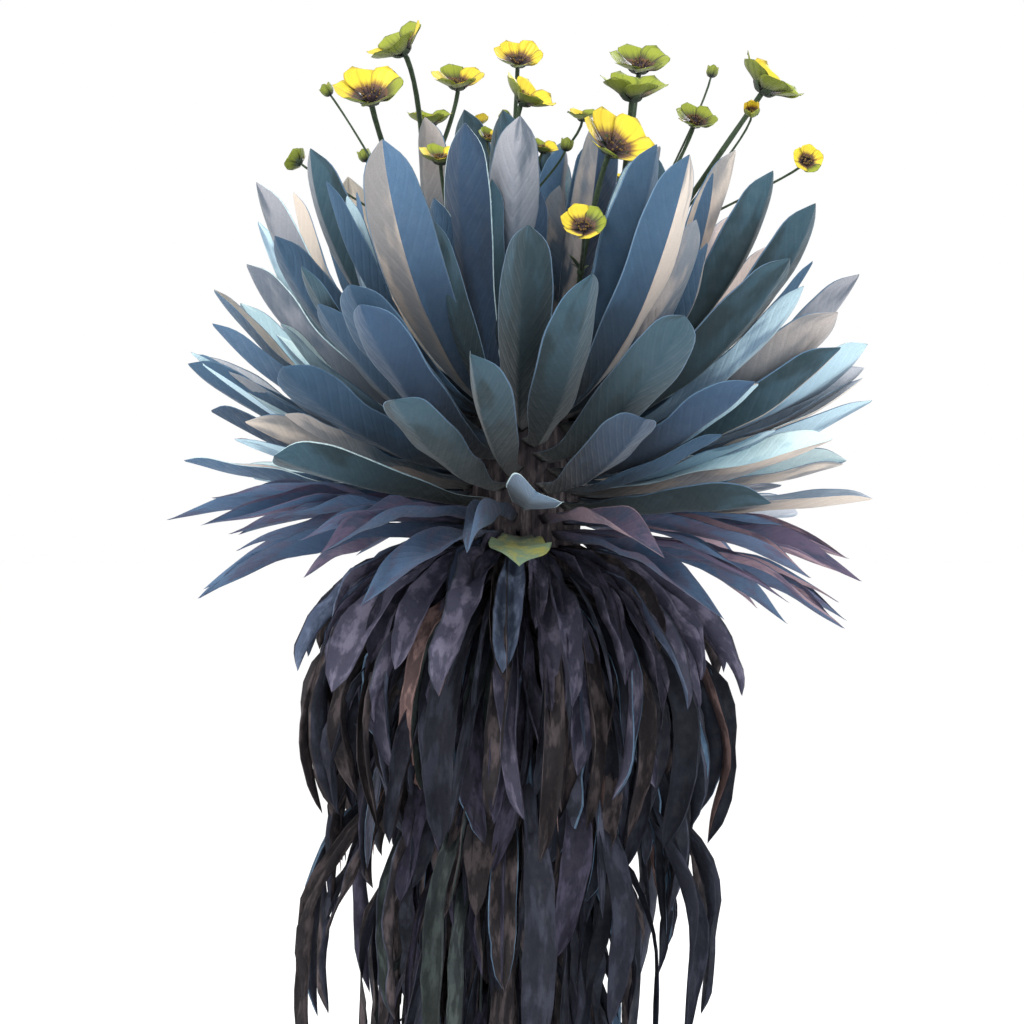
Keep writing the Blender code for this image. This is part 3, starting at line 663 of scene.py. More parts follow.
def stalk_runs(stalk, finer=1):
    """The main run of a stalk and one branch for each flower, as (points, foot radius, end radius)."""
    foot, square = stalk_foot(stalk)
    fork = np.array(stalk.fork)
    pull = np.linalg.norm(fork - foot)
    rise = stalk_heading(stalk) * math.cos(STALK_RISE) + UP * math.sin(STALK_RISE)
    middle = np.mean([flower.place for flower in stalk.flowers], axis=0)
    onward = unit(unit(middle - fork) + UP)
    pulls = (rise * pull * MAIN_PULL, onward * pull * MAIN_PULL)
    line = curve_through(foot + square * STALK_STAND, pulls[0], fork, pulls[1], MAIN_STEPS * finer)
    runs = [(np.vstack((foot, line)), STALK_FOOT_RADIUS, STALK_FORK_RADIUS)]
    thin, thick = BRANCH_RADIUS
    for flower in stalk.flowers:
        place, axis, radius = seat(flower)
        end = place - axis * radius * STALK_SEAT
        span = np.linalg.norm(end - fork)
        away = unit(onward + BRANCH_TURN * unit(end - fork))
        pulls = (away * span * BRANCH_PULL, axis * span * BRANCH_PULL)
        bend = curve_through(fork, pulls[0], end, pulls[1], BRANCH_STEPS * finer)
        stem = max(thin, min(thick, flower.width * BRANCH_SHARE))
        runs.append((bend, stem, stem))
    return runs


def stalk_obstacles():
    """Points along every stalk and round every flower, which the leaves keep clear of."""
    points = []
    for stalk in STALKS:
        for run, _, _ in stalk_runs(stalk):
            for a, b in zip(run, run[1:]):
                pieces = max(1, round(np.linalg.norm(b - a) / OBSTACLE_STEP))
                points += [a + (b - a) * i / pieces for i in range(pieces + 1)]
        for flower in stalk.flowers:
            place, axis, radius = seat(flower)
            for spoke in spokes_of(flower, OBSTACLE_SPOKES):
                rim = (spoke + axis * RIM_RISE) * radius
                points += [place + rim * share for share in OBSTACLE_SHARES]
    return np.array(points)


# A direction that no stem runs in, to start its rings from
ASKEW = np.array((0.31, -0.77, 0.56))
# How far a tube's end rings are drawn in
END_SHARE = 0.1


def add_tube(mass, points, radii, sides, kind=0, tone=0.5):
    """A round stem along points, with a radius at each, closed at both ends by drawing them in."""
    radii = np.array(radii, float)
    points = np.vstack((points[:1], points, points[-1:]))
    radii = np.concatenate((radii[:1] * END_SHARE, radii, radii[-1:] * END_SHARE))
    heading = np.gradient(points[1:-1], axis=0)
    heading = unit(np.vstack((heading[:1], heading, heading[-1:])))
    side = unit(np.cross(heading, ASKEW))
    other = np.cross(heading, side)
    turn = FULL_TURN * np.arange(sides) / sides
    ring = side[:, None] * np.cos(turn)[None, :, None] + other[:, None] * np.sin(turn)[None, :, None]
    wall = points[:, None] + ring * radii[:, None, None]
    faces = grid_faces(len(points), sides, wrap=True)
    along = np.repeat(np.linspace(0, 1, len(points)), sides)
    across = np.tile(np.cos(turn), len(points))
    mass.add(wall.reshape(-1, 3), faces, np.full(len(faces), kind), along, across, tone)


# Materials

def srgb(red, green, blue):
    """A colour for a shader's socket, from screen values of 0 to 255."""
    parts = (value / 255 for value in (red, green, blue))
    return (*(v / 12.92 if v <= 0.04045 else ((v + 0.055) / 1.055) ** 2.4 for v in parts), 1.0)


def set_sockets(node, **values):
    """Gives constant values to a node's inputs, named in lower case with underscores."""
    for name, value in values.items():
        node.inputs[name.replace("_", " ").title()].default_value = value
    return node


def add_node(tree, kind, **settings):
    """A node with its settings."""
    node = tree.nodes.new(kind)
    for name, value in settings.items():
        setattr(node, name, value)
    return node


def mark(tree, name):
    """A mark that the points of every surface carry: along, across or tone."""
    return add_node(tree, "ShaderNodeAttribute", attribute_name=name).outputs["Fac"]


def feed(tree, socket, term):
    """Sets an input to a number or a colour, or links an output to it."""
    if isinstance(term, (int, float, tuple)):
        socket.default_value = term
    else:
        tree.links.new(term, socket)


def calculate(tree, operation, *terms):
    """A sum on numbers and outputs."""
    node = add_node(tree, "ShaderNodeMath", operation=operation)
    for term, socket in zip(terms, node.inputs):
        feed(tree, socket, term)
    return node.outputs["Value"]


def ramp(tree, value, low, high, to_low=0.0, to_high=1.0):
    """A smooth step: a value between two ends, carried to two others."""
    node = add_node(tree, "ShaderNodeMapRange", interpolation_type="SMOOTHSTEP")
    ends = {"Value": value, "From Min": low, "From Max": high, "To Min": to_low, "To Max": to_high}
    for name, term in ends.items():
        feed(tree, node.inputs[name], term)
    return node.outputs["Result"]


# The colour sockets of a Mix node, by their place, as sockets for numbers bear the same names
MIX_A, MIX_B, MIX_RESULT = 6, 7, 2


def blend(tree, factor, a, b):
    """One colour over another by a factor."""
    node = add_node(tree, "ShaderNodeMix", data_type="RGBA")
    for socket, term in ((0, factor), (MIX_A, a), (MIX_B, b)):
        feed(tree, node.inputs[socket], term)
    return node.outputs[MIX_RESULT]


def noise(tree, vector, scale, detail=3.0, roughness=0.5):
    """Cloudy noise from 0 to 1."""
    node = add_node(tree, "ShaderNodeTexNoise")
    for name, term in (("Vector", vector), ("Scale", scale), ("Detail", detail), ("Roughness", roughness)):
        feed(tree, node.inputs[name], term)
    return node.outputs["Fac"]


# How far apart in the noise the patterns of two leaves may lie
TONE_REACH = 60.0


def leaf_space(tree, across, along):
    """Coordinates on a leaf's own surface, apart for each leaf: across it, along it, and its tone."""
    node = add_node(tree, "ShaderNodeCombineXYZ")
    scales = (("across", across), ("along", along), ("tone", TONE_REACH))
    for (name, scale), socket in zip(scales, node.inputs):
        feed(tree, socket, calculate(tree, "MULTIPLY", mark(tree, name), scale))
    return node.outputs["Vector"]


def new_material(name, specular, **sockets):
    """A material with its node tree and its shader."""
    material = bpy.data.materials.new(name)
    material.use_nodes = True
    shader = set_sockets(material.node_tree.nodes["Principled BSDF"], **sockets)
    shader.inputs["Specular IOR Level"].default_value = specular
    return material, material.node_tree, shader


def link_surface(tree, shader, colour, roughness, height, strength, distance):
    """Links a surface's colour, roughness and relief to its shader."""
    relief = set_sockets(add_node(tree, "ShaderNodeBump"), strength=strength, distance=distance)
    feed(tree, relief.inputs["Height"], height)
    links = {"Base Color": colour, "Roughness": roughness, "Normal": relief.outputs["Normal"]}
    for name, output in links.items():
        feed(tree, shader.inputs[name], output)


def new_group(name, inputs, outputs):
    """An empty node group with named sockets, and its input and output nodes."""
    group = bpy.data.node_groups.new(name, "ShaderNodeTree")
    for label, value in inputs:
        kind = "NodeSocketColor" if isinstance(value, tuple) else "NodeSocketFloat"
        group.interface.new_socket(label, in_out="INPUT", socket_type=kind).default_value = value
    for label, kind in outputs:
        group.interface.new_socket(label, in_out="OUTPUT", socket_type=kind)
    return group, add_node(group, "NodeGroupInput").outputs, add_node(group, "NodeGroupOutput").inputs


# Relief is a strength and a depth in metres. Roughness runs between two ends over the band where most of
# a noise lies
NOISE_BAND = (0.3, 0.7)
TISSUE_SPECULAR, BARK_SPECULAR, PETAL_SPECULAR = 0.22, 0.2, 0.35
TISSUE_ROUGHNESS, BARK_ROUGHNESS, PETAL_ROUGHNESS = (0.55, 0.92), (0.98, 0.7), (0.4, 0.7)
TISSUE_DEPTH, BARK_RELIEF, PETAL_RELIEF = 0.002, (0.8, 0.003), (0.4, 0.001)

# What the group's colour sockets hold until a material sets them
GREY = (0.1, 0.1, 0.1, 1.0)
# Where streaks begin in their noise, from 0 to 1
STREAK_START = 0.46
# Veins leave the midrib at a slant, so many to a leaf, and are so much paler than what lies between
VEIN_SLANT = -0.16
VEINS = 105.0
VEIN_PALENESS = 0.12
# Down is the short wool of the surface, and lumps are its larger unevenness, both by their scale
DOWN_SCALE, LUMP_SCALE = 900.0, 75.0
DOWN_HEIGHT = 0.3


def tissue_group():
    """Plant tissue: a colour that changes from foot to tip, with cloudy streaks, veins, tone and down."""
    group, given, made = new_group(
        "plant_tissue",
        (
            ("Body", GREY), ("Foot", GREY), ("Tip", GREY), ("Streak", GREY), ("Streak Amount", 0.5),
            ("Streak End", 0.66), ("Across Scale", 1.0), ("Along Scale", 3.0), ("Foot Reach", 0.4),
            ("Tone Spread", 0.3), ("Vein Depth", 0.5), ("Grain", 0.2),
        ),
        (("Color", "NodeSocketColor"), ("Height", "NodeSocketFloat"), ("Roughness", "NodeSocketFloat")),
    )
    along = mark(group, "along")
    where = add_node(group, "ShaderNodeTexCoord").outputs["Object"]

    low = blend(group, ramp(group, along, 0.0, given["Foot Reach"]), given["Foot"], given["Body"])
    whole = blend(group, ramp(group, along, 0.5, 1.0), low, given["Tip"])
    clouds = noise(group, leaf_space(group, given["Across Scale"], given["Along Scale"]), 1.0, 3.0, 0.6)
    clouds = ramp(group, clouds, STREAK_START, given["Streak End"])
    streaks = calculate(group, "MULTIPLY", clouds, given["Streak Amount"])
    streaked = blend(group, streaks, whole, given["Streak"])

    aside = calculate(group, "ABSOLUTE", mark(group, "across"))
    slant = calculate(group, "MULTIPLY_ADD", aside, VEIN_SLANT, along)
    crest = calculate(group, "SINE", calculate(group, "MULTIPLY", slant, VEINS))
    veins = calculate(group, "MULTIPLY", ramp(group, crest, 0.3, 1.0), given["Vein Depth"])

    down = noise(group, where, DOWN_SCALE, 2.0)
    lumps = noise(group, where, LUMP_SCALE)
    relief = calculate(group, "MULTIPLY_ADD", down, DOWN_HEIGHT, lumps)
    feed(group, made["Height"], calculate(group, "ADD", relief, veins))

    tone = calculate(group, "SUBTRACT", mark(group, "tone"), 0.5)
    toned = calculate(group, "ADD", calculate(group, "MULTIPLY", tone, given["Tone Spread"]), 1.0)
    veined = calculate(group, "MULTIPLY_ADD", veins, VEIN_PALENESS, toned)
    grain = calculate(group, "MULTIPLY", calculate(group, "SUBTRACT", down, 0.5), given["Grain"])
    shaded = add_node(group, "ShaderNodeHueSaturation")
    feed(group, shaded.inputs["Value"], calculate(group, "ADD", grain, veined))
    feed(group, shaded.inputs["Color"], streaked)
    feed(group, made["Color"], shaded.outputs["Color"])
    feed(group, made["Roughness"], ramp(group, lumps, *NOISE_BAND, *TISSUE_ROUGHNESS))
    return group


TISSUE = tissue_group()

# A look is a finish of plant tissue: how strong its streaks are and where in their noise they are full,
# their scales across and along the leaf, how far its foot's colour reaches, its veins, sheen and bump,
# how far tones differ, and its grain
Look = namedtuple("Look", "streak streak_end across along foot_reach veins sheen bump spread grain")
# The live leaves' dark foot reaches far along them: partly their own darker base, partly painted shade
WOOLLY = Look(0.72, 0.60, 0.75, 2.3, 0.72, 0.35, 0.16, 0.45, 0.34, 0.5)
WILTING = Look(0.80, 0.62, 1.5, 6.0, 0.45, 0.25, 0.08, 0.70, 0.40, 0.4)
WITHERED = Look(0.90, 0.64, 1.6, 8.5, 0.30, 0.05, 0.00, 0.90, 0.60, 0.4)
STEM = Look(0.50, 0.66, 1.5, 30.0, 0.30, 0.0, 0.10, 0.80, 0.20, 0.6)


def tissue(name, look, body, foot, tip, streak):
    """A material of plant tissue, with its colours given by screen values."""
    material, tree, shader = new_material(name, TISSUE_SPECULAR, sheen_weight=look.sheen, sheen_roughness=0.5)
    growth = add_node(tree, "ShaderNodeGroup", node_tree=TISSUE)
    set_sockets(
        growth, body=srgb(*body), foot=srgb(*foot), tip=srgb(*tip), streak=srgb(*streak),
        streak_amount=look.streak, streak_end=look.streak_end, across_scale=look.across,
        along_scale=look.along, foot_reach=look.foot_reach, tone_spread=look.spread,
        vein_depth=look.veins, grain=look.grain,
    )
    colour, height, roughness = growth.outputs
    link_surface(tree, shader, colour, roughness, height, look.bump, TISSUE_DEPTH)
    return material


# Live leaves, each as body, foot, tip and patches of wool: mostly slate outside, warm grey inside. The dark
# foot is partly the leaf's own darker base and partly painted shade near the trunk. The frost tints are
# pale wool and partly a painted highlight
OUTER_TINTS = (
    ("outer_slate", (44, 64, 84), (25, 31, 34), (66, 94, 120), (56, 82, 106)),
    ("outer_teal", (41, 61, 70), (25, 31, 29), (57, 84, 98), (32, 46, 50)),
    ("outer_navy", (38, 52, 70), (24, 29, 35), (54, 78, 104), (46, 66, 90)),
    ("outer_blue", (54, 77, 102), (32, 42, 52), (84, 114, 144), (72, 102, 132)),
    ("outer_tipped", (60, 75, 88), (32, 40, 42), (178, 170, 166), (104, 110, 116)),
    ("outer_grey", (98, 108, 122), (40, 48, 58), (160, 162, 170), (62, 80, 98)),
    ("outer_beige", (160, 148, 140), (66, 66, 66), (206, 194, 182), (96, 104, 114)),
    ("outer_woolly", (54, 71, 90), (30, 38, 44), (120, 126, 134), (158, 150, 146)),
    ("outer_frost_and_highlight", (136, 164, 184), (46, 60, 76), (184, 212, 224), (84, 110, 136)),
)
INNER_TINTS = (
    ("inner_grey", (158, 166, 176), (66, 76, 86), (198, 202, 210), (104, 126, 146)),
    ("inner_beige", (196, 182, 170), (92, 84, 74), (224, 212, 198), (150, 146, 140)),
    ("inner_rose", (206, 186, 180), (106, 90, 84), (232, 216, 210), (150, 148, 158)),
    ("inner_teal", (72, 98, 112), (40, 54, 58), (108, 138, 154), (120, 134, 140)),
    ("inner_frost_and_highlight", (200, 228, 234), (86, 110, 128), (220, 242, 244), (156, 192, 206)),
)
# Edges: plain slate, or near white as a painted highlight along the margin
EDGE_TINTS = (
    ("edge_slate", (70, 98, 124), (42, 60, 76), (88, 120, 148), (98, 128, 156)),
    ("edge_painted_highlight", (190, 220, 230), (96, 126, 146), (206, 232, 238), (214, 236, 240)),
)
# How often each tint is dealt outside and inside: to the leaves that point to the viewer, to the low
# ones on the left and on the right, to the high ones on the left and on the right, and to those behind.
# The flanks get more of the pale tints, partly as painted light
FRONT_WEIGHTS = ((6, 8, 4, 1.4, 0.2, 0.1, 0, 0.6, 0), (0, 0, 0, 7, 0.1))
LEFT_WEIGHTS = ((2.4, 1, 2, 7, 3.4, 1.8, 1.2, 3.6, 4), (2, 2.4, 2.6, 1, 8))
RIGHT_WEIGHTS = ((2.4, 0.6, 2, 2.8, 2.5, 2.8, 3.6, 4, 4.6), (2.5, 3, 3, 0.6, 8))
HIGH_LEFT_WEIGHTS = ((3, 2, 1.5, 1, 3, 3, 5, 5, 1), (3, 5, 4, 2, 2))
HIGH_RIGHT_WEIGHTS = ((4, 3.4, 1.6, 0.6, 3, 3, 5, 4.5, 0.4), (3, 5, 4, 2, 2))
BACK_WEIGHTS = ((5, 4, 3, 1.4, 2.4, 1, 1.6, 3, 0.1), (3.5, 5, 4, 2.4, 1))
# How often each edge is dealt to the other leaves, and to those in front. The pale one is a painted
# highlight along the margin
EDGE_WEIGHTS = ((2, 1), (1, 0.08))
# How far aside a leaf points, as a sine, before it leaves the front's tints, low and high up, and
# before it takes its side's tints instead of those behind
FRONT_REACH = (0.72, 0.42)
SIDE_REACH = (0.6, 0.42)
# Behind and on the flanks, so many leaves have one half in a dark tint and the other in a pale one:
# painted shade and painted light on the two sides of the fold
SPLIT_SHARE = 0.60
SHADED_HALF_WEIGHTS = ((5, 2, 5, 4), (0, 0, 0, 1))
LIT_HALF_WEIGHTS = ((0, 0, 0, 0, 0.6, 3, 5, 2, 2), (3, 4, 3, 0, 3))
# Low on the flanks the narrow leaves between the tiers are the palest, mostly in the frost tints, partly as
# painted light. From the high tier up the leaves are dealt the high ones' tints
NARROW_WIDTH = 0.062
NARROW_WEIGHTS = ((0.6, 0, 0.6, 1, 1, 2, 3, 1, 7), (2, 2, 2, 0.5, 9))
HIGH_TIER = 7


def tissues(look, *tables):
    """The materials of some tables of tints."""
    return [tissue(name, look, *tints) for table in tables for name, *tints in table]


def plain_palette(upper, lower, edge):
    """The tints of a leaf whose two halves are alike."""
    return upper, lower, edge, upper, lower


def live_tints(draw, weights):
    """One tint for the inside of a live leaf and one for its outside."""
    outer, inner = (draw.choices(range(len(shares)), shares)[0] for shares in weights)
    return len(OUTER_TINTS) + inner, outer


def live_palette(draw, blade, high):
    """The tints of one live leaf's zones, by the side of the plant that it is on: paler on the flanks as
    painted light, and on some leaves a half in painted light and a half in painted shade.
    """
    weights = BACK_WEIGHTS
    aside = abs(math.cos(blade.azimuth))
    if math.sin(blade.azimuth) < 0 and aside < FRONT_REACH[high]:
        weights = FRONT_WEIGHTS
    elif aside > SIDE_REACH[high]:
        sides = (HIGH_LEFT_WEIGHTS, HIGH_RIGHT_WEIGHTS) if high else (LEFT_WEIGHTS, RIGHT_WEIGHTS)
        weights = sides[math.cos(blade.azimuth) > 0]
        if blade.width < NARROW_WIDTH and not high:
            weights = NARROW_WEIGHTS
    front = weights is FRONT_WEIGHTS
    edge = len(OUTER_TINTS + INNER_TINTS) + draw.choices(range(len(EDGE_TINTS)), EDGE_WEIGHTS[front])[0]
    if front or weights is NARROW_WEIGHTS or draw.random() > SPLIT_SHARE:
        upper, lower = live_tints(draw, weights)
        return plain_palette(upper, lower, edge)
    # Painted light and shade: one half of the leaf gets a dark tint, the other a pale one
    halves = [live_tints(draw, SHADED_HALF_WEIGHTS), live_tints(draw, LIT_HALF_WEIGHTS)]
    draw.shuffle(halves)
    (upper, lower), (far_upper, far_lower) = halves
    return upper, lower, edge, far_upper, far_lower


# Fading leaves: slate, mauve and rose, and one in front that yellows
FADING_TINTS = (
    ("fading_slate", (72, 88, 116), (48, 52, 70), (92, 108, 136), (88, 80, 102)),
    ("fading_mauve", (84, 76, 100), (48, 44, 60), (110, 98, 122), (64, 76, 100)),
    ("fading_rose", (138, 116, 128), (70, 60, 72), (170, 146, 154), (90, 84, 108)),
    ("fading_blue", (58, 79, 108), (36, 46, 63), (82, 107, 136), (78, 81, 104)),
    ("yellowing", (98, 118, 78), (70, 84, 84), (112, 140, 112), (156, 152, 58)),
)
FADING_LEFT_WEIGHTS = (4, 1.8, 0.6, 6)
FADING_RIGHT_WEIGHTS = (3.5, 2.5, 3, 3)
YELLOWING = 4
YELLOWING_BEARING = {
    "azimuth": math.radians(-90), "slope_tip": math.radians(-8), "width": 0.068, "swing": 0.0, "roll": 0.0,
}
YELLOWING_CUT = FADING_CUT._replace(fold=(4, 5), curl=(12, 20), twist=0, crumple=0.001, rounding=0.2)

# Dead leaves: near black, with brown, violet, grey and rust, and a still darker one as painted shade
DEAD_TINTS = (
    ("dead_black", (32, 34, 44), (31, 33, 43), (34, 36, 47), (52, 55, 68)),
    ("dead_violet", (38, 37, 50), (36, 37, 49), (41, 40, 54), (66, 63, 81)),
    ("dead_brown", (40, 37, 40), (37, 35, 39), (46, 42, 45), (86, 77, 79)),
    ("dead_grey", (41, 44, 54), (37, 40, 50), (47, 50, 62), (70, 73, 88)),
    ("dead_rust", (82, 67, 68), (52, 45, 50), (110, 87, 84), (146, 120, 116)),
    ("dead_green", (40, 46, 48), (36, 40, 44), (48, 54, 52), (68, 76, 76)),
    ("dead_slate", (66, 88, 110), (40, 52, 66), (86, 110, 134), (104, 130, 154)),
    ("dead_painted_shade", (21, 24, 33), (20, 22, 31), (23, 26, 37), (30, 34, 45)),
    ("dying_violet", (58, 58, 74), (72, 75, 94), (57, 57, 73), (98, 94, 112)),
    ("dying_slate", (66, 76, 98), (72, 82, 106), (72, 84, 106), (102, 114, 138)),
)
# How often each tint is dealt: to most dead leaves, to those at the top, and to narrow strips. Leaves
# narrower than the strip width are strips
DEAD_WEIGHTS = (8, 2, 9, 2, 0.8, 1.2, 0, 0, 0, 0)
TOP_WEIGHTS = (0, 1, 2, 0, 0.5, 0, 0, 0, 9, 4)
STRIP_WEIGHTS = (6, 3, 6, 3, 2.4, 1, 3.0, 0, 0, 0)
STRIP_WIDTH = 0.019
# Leaves on the leaning side in front whose tips hang below this height are nearly black: painted shade
SHADED_WEIGHTS = (3, 0, 1, 0, 0.6, 0, 0.5, 6, 0, 0)
SHADED_TIP = 0.74
SHADED_AZIMUTH = (math.radians(-60), math.radians(14))
# The thin margins of some leaves are paler, as a painted highlight: how often a leaf keeps its tint
# there, or has one of these
PALE_EDGES = (3, 6)
DEAD_EDGE_WEIGHTS = (8, 2, 1)

# More leaves between the tiers, narrower than the tiers' own
FILLING_LEAVES = (13, 13, 13, 12, 12, 11, 10, 9, 8, 7)
FILLING_LENGTH = (0.72, 1.0)
FILLING_WIDTH = (0.42, 0.80)
FILLING_ROLL = 24.0
FILLING_AZIMUTH = 0.45
FILLING_SLOPES = ((-2, 2), (-4, 4))
# So many leaves fill the space over each tier of fading leaves
FADING_FILLING = 15
# Below this height the leaves in front leave the bark bare, this far to each side of the viewer
BARE_HEIGHT = 1.20
BARE_FRONT = math.radians(30)


def between_tiers(low, high, leaves, form, seed, obstacles):
    """Leaves that fill the space between two tiers, within the reach of both."""
    draw = Random(seed)
    blades = []
    for i in range(leaves):
        azimuth = FULL_TURN * (i + draw.uniform(-FILLING_AZIMUTH, FILLING_AZIMUTH)) / leaves
        share = draw.random()
        tier = Tier(*(a + (b - a) * share for a, b in zip(low, high)))
        length = tier.length * draw.uniform(*FILLING_LENGTH)
        width = tier.width * draw.uniform(*FILLING_WIDTH)
        means = (tier.slope_foot, tier.slope_tip)
        slopes = [math.radians(mean + draw.uniform(*ends)) for mean, ends in zip(means, FILLING_SLOPES)]
        swing = draw.uniform(-1, 1) * 2 * SWING_SPREAD
        roll = math.radians(draw.uniform(-1, 1) * FILLING_ROLL)
        blade = rooted(azimuth, tier.height, length, width, slopes, form, swing=swing, roll=roll)
        off_front = abs((azimuth + FULL_TURN * 3 / 4) % FULL_TURN - FULL_TURN / 2)
        bare = tier.height < BARE_HEIGHT and off_front < BARE_FRONT
        if not bare and is_clear(blade, form, obstacles):
            blades.append(blade)
    return blades


def swept_tiers():
    """The tiers of live leaves as they sag at the foot and sweep up at the tip."""
    return [
        tier._replace(
            length=tier.length * (1 + SWEEP_LENGTH * sweep),
            slope_foot=tier.slope_foot - sweep,
            slope_tip=tier.slope_tip + sweep,
        )
        for tier, sweep in zip(LIVE_TIERS, SWEEP)
    ]


# The pieces of live leaves, and their first and last tiers
LIVE_PIECES = (("live_leaves_low", 1, 5), ("live_leaves_high", 6, 11))


def live_leaves(obstacles):
    """Two pieces of live leaves: the low tiers, and the high ones with the bud and its leaves."""
    tiers = swept_tiers()
    for name, first, last in LIVE_PIECES:
        mass = Mass()
        nodes = []
        for number in range(first, last + 1):
            nodes += [f"leaves_{number:02d}_a", f"leaves_{number:02d}_b"]
            blades = tier_blades(tiers[number - 1], LIVE_FORM, obstacles)
            if number < len(tiers):
                low, high = tiers[number - 1:number + 1]
                count = FILLING_LEAVES[number - 1]
                blades += between_tiers(low, high, count, LIVE_FORM, LIVE_FILLING_SEED + number, obstacles)
            blades = [blade._replace(width=blade.width * LAID_FLAT) for blade in blades]
            add_live(mass, blades, number >= HIGH_TIER, LIVE_SEED + TIER_SEEDS * number)
        if last == len(tiers):
            nodes.append("bud")
            add_live(mass, bud_blades(obstacles), True, BUD_LEAF_SEED)
            add_bud(mass)
        looks = tissues(WOOLLY, OUTER_TINTS, INNER_TINTS, EDGE_TINTS)
        finish_piece(mass.join(name, looks), nodes)


def add_live(mass, blades, high, seed):
    """Grows live leaves into a mass, each with its own tints."""
    for i, blade in enumerate(blades, seed):
        add_leaf(mass, blade, LIVE_FORM, LIVE_CUT, live_palette(Random(i), blade, high), i + LIVE_SHAPES)


def add_bud(mass):
    """The closed cone of the youngest leaves."""
    heights, radii = np.array(BUD_PROFILE).T
    steps = np.linspace(0, 1, BUD_RINGS) * heights[-1]
    points = np.array([UP * (BUD_FOOT + h) for h in steps])
    radii = np.maximum(np.interp(steps, heights, radii), BUD_TIP_RADIUS)
    add_tube(mass, points, radii, BUD_SIDES, tone=BUD_TONE)


def fading_leaves(obstacles):
    """One piece of fading leaves: the two tiers and those between and over them."""
    mass = Mass()
    nodes = []
    above = (*FADING_TIERS, LIVE_TIERS[0])
    for number, tier in enumerate(FADING_TIERS, 1):
        nodes += [f"fading_leaves_{number}_a", f"fading_leaves_{number}_b"]
        blades = tier_blades(tier, FADING_FORM, obstacles)
        seed = FADING_FILLING_SEED + number
        blades += between_tiers(tier, above[number], FADING_FILLING, FADING_FORM, seed, obstacles)
        for i, blade in enumerate(blades, FADING_SEED + TIER_SEEDS * number):
            draw = Random(i)
            weights = FADING_RIGHT_WEIGHTS if math.cos(blade.azimuth) > 0 else FADING_LEFT_WEIGHTS
            tint, back = draw.choices(range(len(weights)), weights, k=2)
            cut = FADING_CUT
            if blade is blades[0] and number == 1:
                tint = back = YELLOWING
                cut = YELLOWING_CUT
                blade = blade._replace(**YELLOWING_BEARING)
            add_leaf(mass, blade, FADING_FORM, cut, plain_palette(tint, back, back), i + FADING_SHAPES)
    finish_piece(mass.join("fading_leaves", tissues(WILTING, FADING_TINTS)), nodes)


# More dead leaves in rows between the levels, so that the skirt is dense as it is in life
FILLING_LEVELS = (
    Level(1.048, 28, 0.235, 0.056, 2, -68, 1.00, 0),
    Level(1.034, 36, 0.300, 0.054, -4, -88, 0.95, 0),
    Level(1.018, 42, 0.350, 0.052, -4, -97, 0.88, 0),
    Level(0.985, 44, 0.355, 0.050, -4, -100, 0.84, 0),
    Level(0.960, 40, 0.330, 0.048, -10, -97, 0.76, 0),
    Level(0.930, 42, 0.320, 0.046, -6, -97, 0.80, 0),
    Level(0.895, 42, 0.330, 0.044, -7, -95, 0.74, 3),
    Level(0.870, 36, 0.320, 0.044, -18, -93, 0.62, 3),
    Level(0.840, 38, 0.340, 0.044, -10, -92, 0.70, 6),
    Level(0.800, 34, 0.340, 0.042, -16, -92, 0.66, 8),
    Level(0.760, 32, 0.330, 0.042, -46, -92, 0.46, 6),
    Level(0.725, 28, 0.320, 0.040, -58, -92, 0.50, 6),
    Level(0.660, 26, 0.300, 0.040, -68, -90, 0.44, 0),
    Level(0.600, 26, 0.290, 0.038, -74, -90, 0.40, 0),
    Level(0.530, 24, 0.270, 0.036, -76, -90, 0.36, 0),
    Level(0.460, 20, 0.240, 0.036, -78, -89, 0.30, 0),
    Level(0.390, 18, 0.220, 0.034, -80, -89, 0.30, 0),
)
# How far the leaves of a row differ: in azimuth as a share of their spacing, in height, in length and
# width as shares of the row's, and in how they hang
ROW_AZIMUTH = 0.6
ROW_HEIGHT = 0.014
ROW_LENGTH = (0.70, 1.0)
ROW_WIDTH = (0.65, 1.15)
ROW_SPREAD = Spread((-14, 2), (-4, 4), 0.15, 50)
# So many of them are narrow strips
NARROW_SHARE = 0.32
STRIP_WIDTHS = (0.22, 0.45)
# Low down, leaves that hang this far to either side of the trunk are worn short
WORN_HEIGHT = 0.88
WORN_BAND = (0.118, 0.188)
WORN_LENGTH = 0.60
# So many leaves are broken: they bend sharply after a share of their length and hang aslant beyond it
KINKED_SHARE = 0.16
KINK_START = (0.22, 0.42)
KINK_BEND = 0.10
KINK_SLOPES = ((-46, -22), (-92, -58))
KINK_LENGTH = 0.85
# How much of their flat width the levels' own leaves keep as they dry and roll up
ROLLED_UP = (1.0, 0.92, 0.90, 0.80, 0.60, 0.70, 0.76)
# The skirt's pieces: the levels in each, and the height above which it has the rows. So many rows at the
# top are tinted like the top level
SKIRT_PIECES = (("skirt_top", (1, 2), 0.92), ("skirt_middle", (3, 4), 0.70), ("skirt_foot", (5, 6, 7), 0.0))
TOP_ROWS = 3


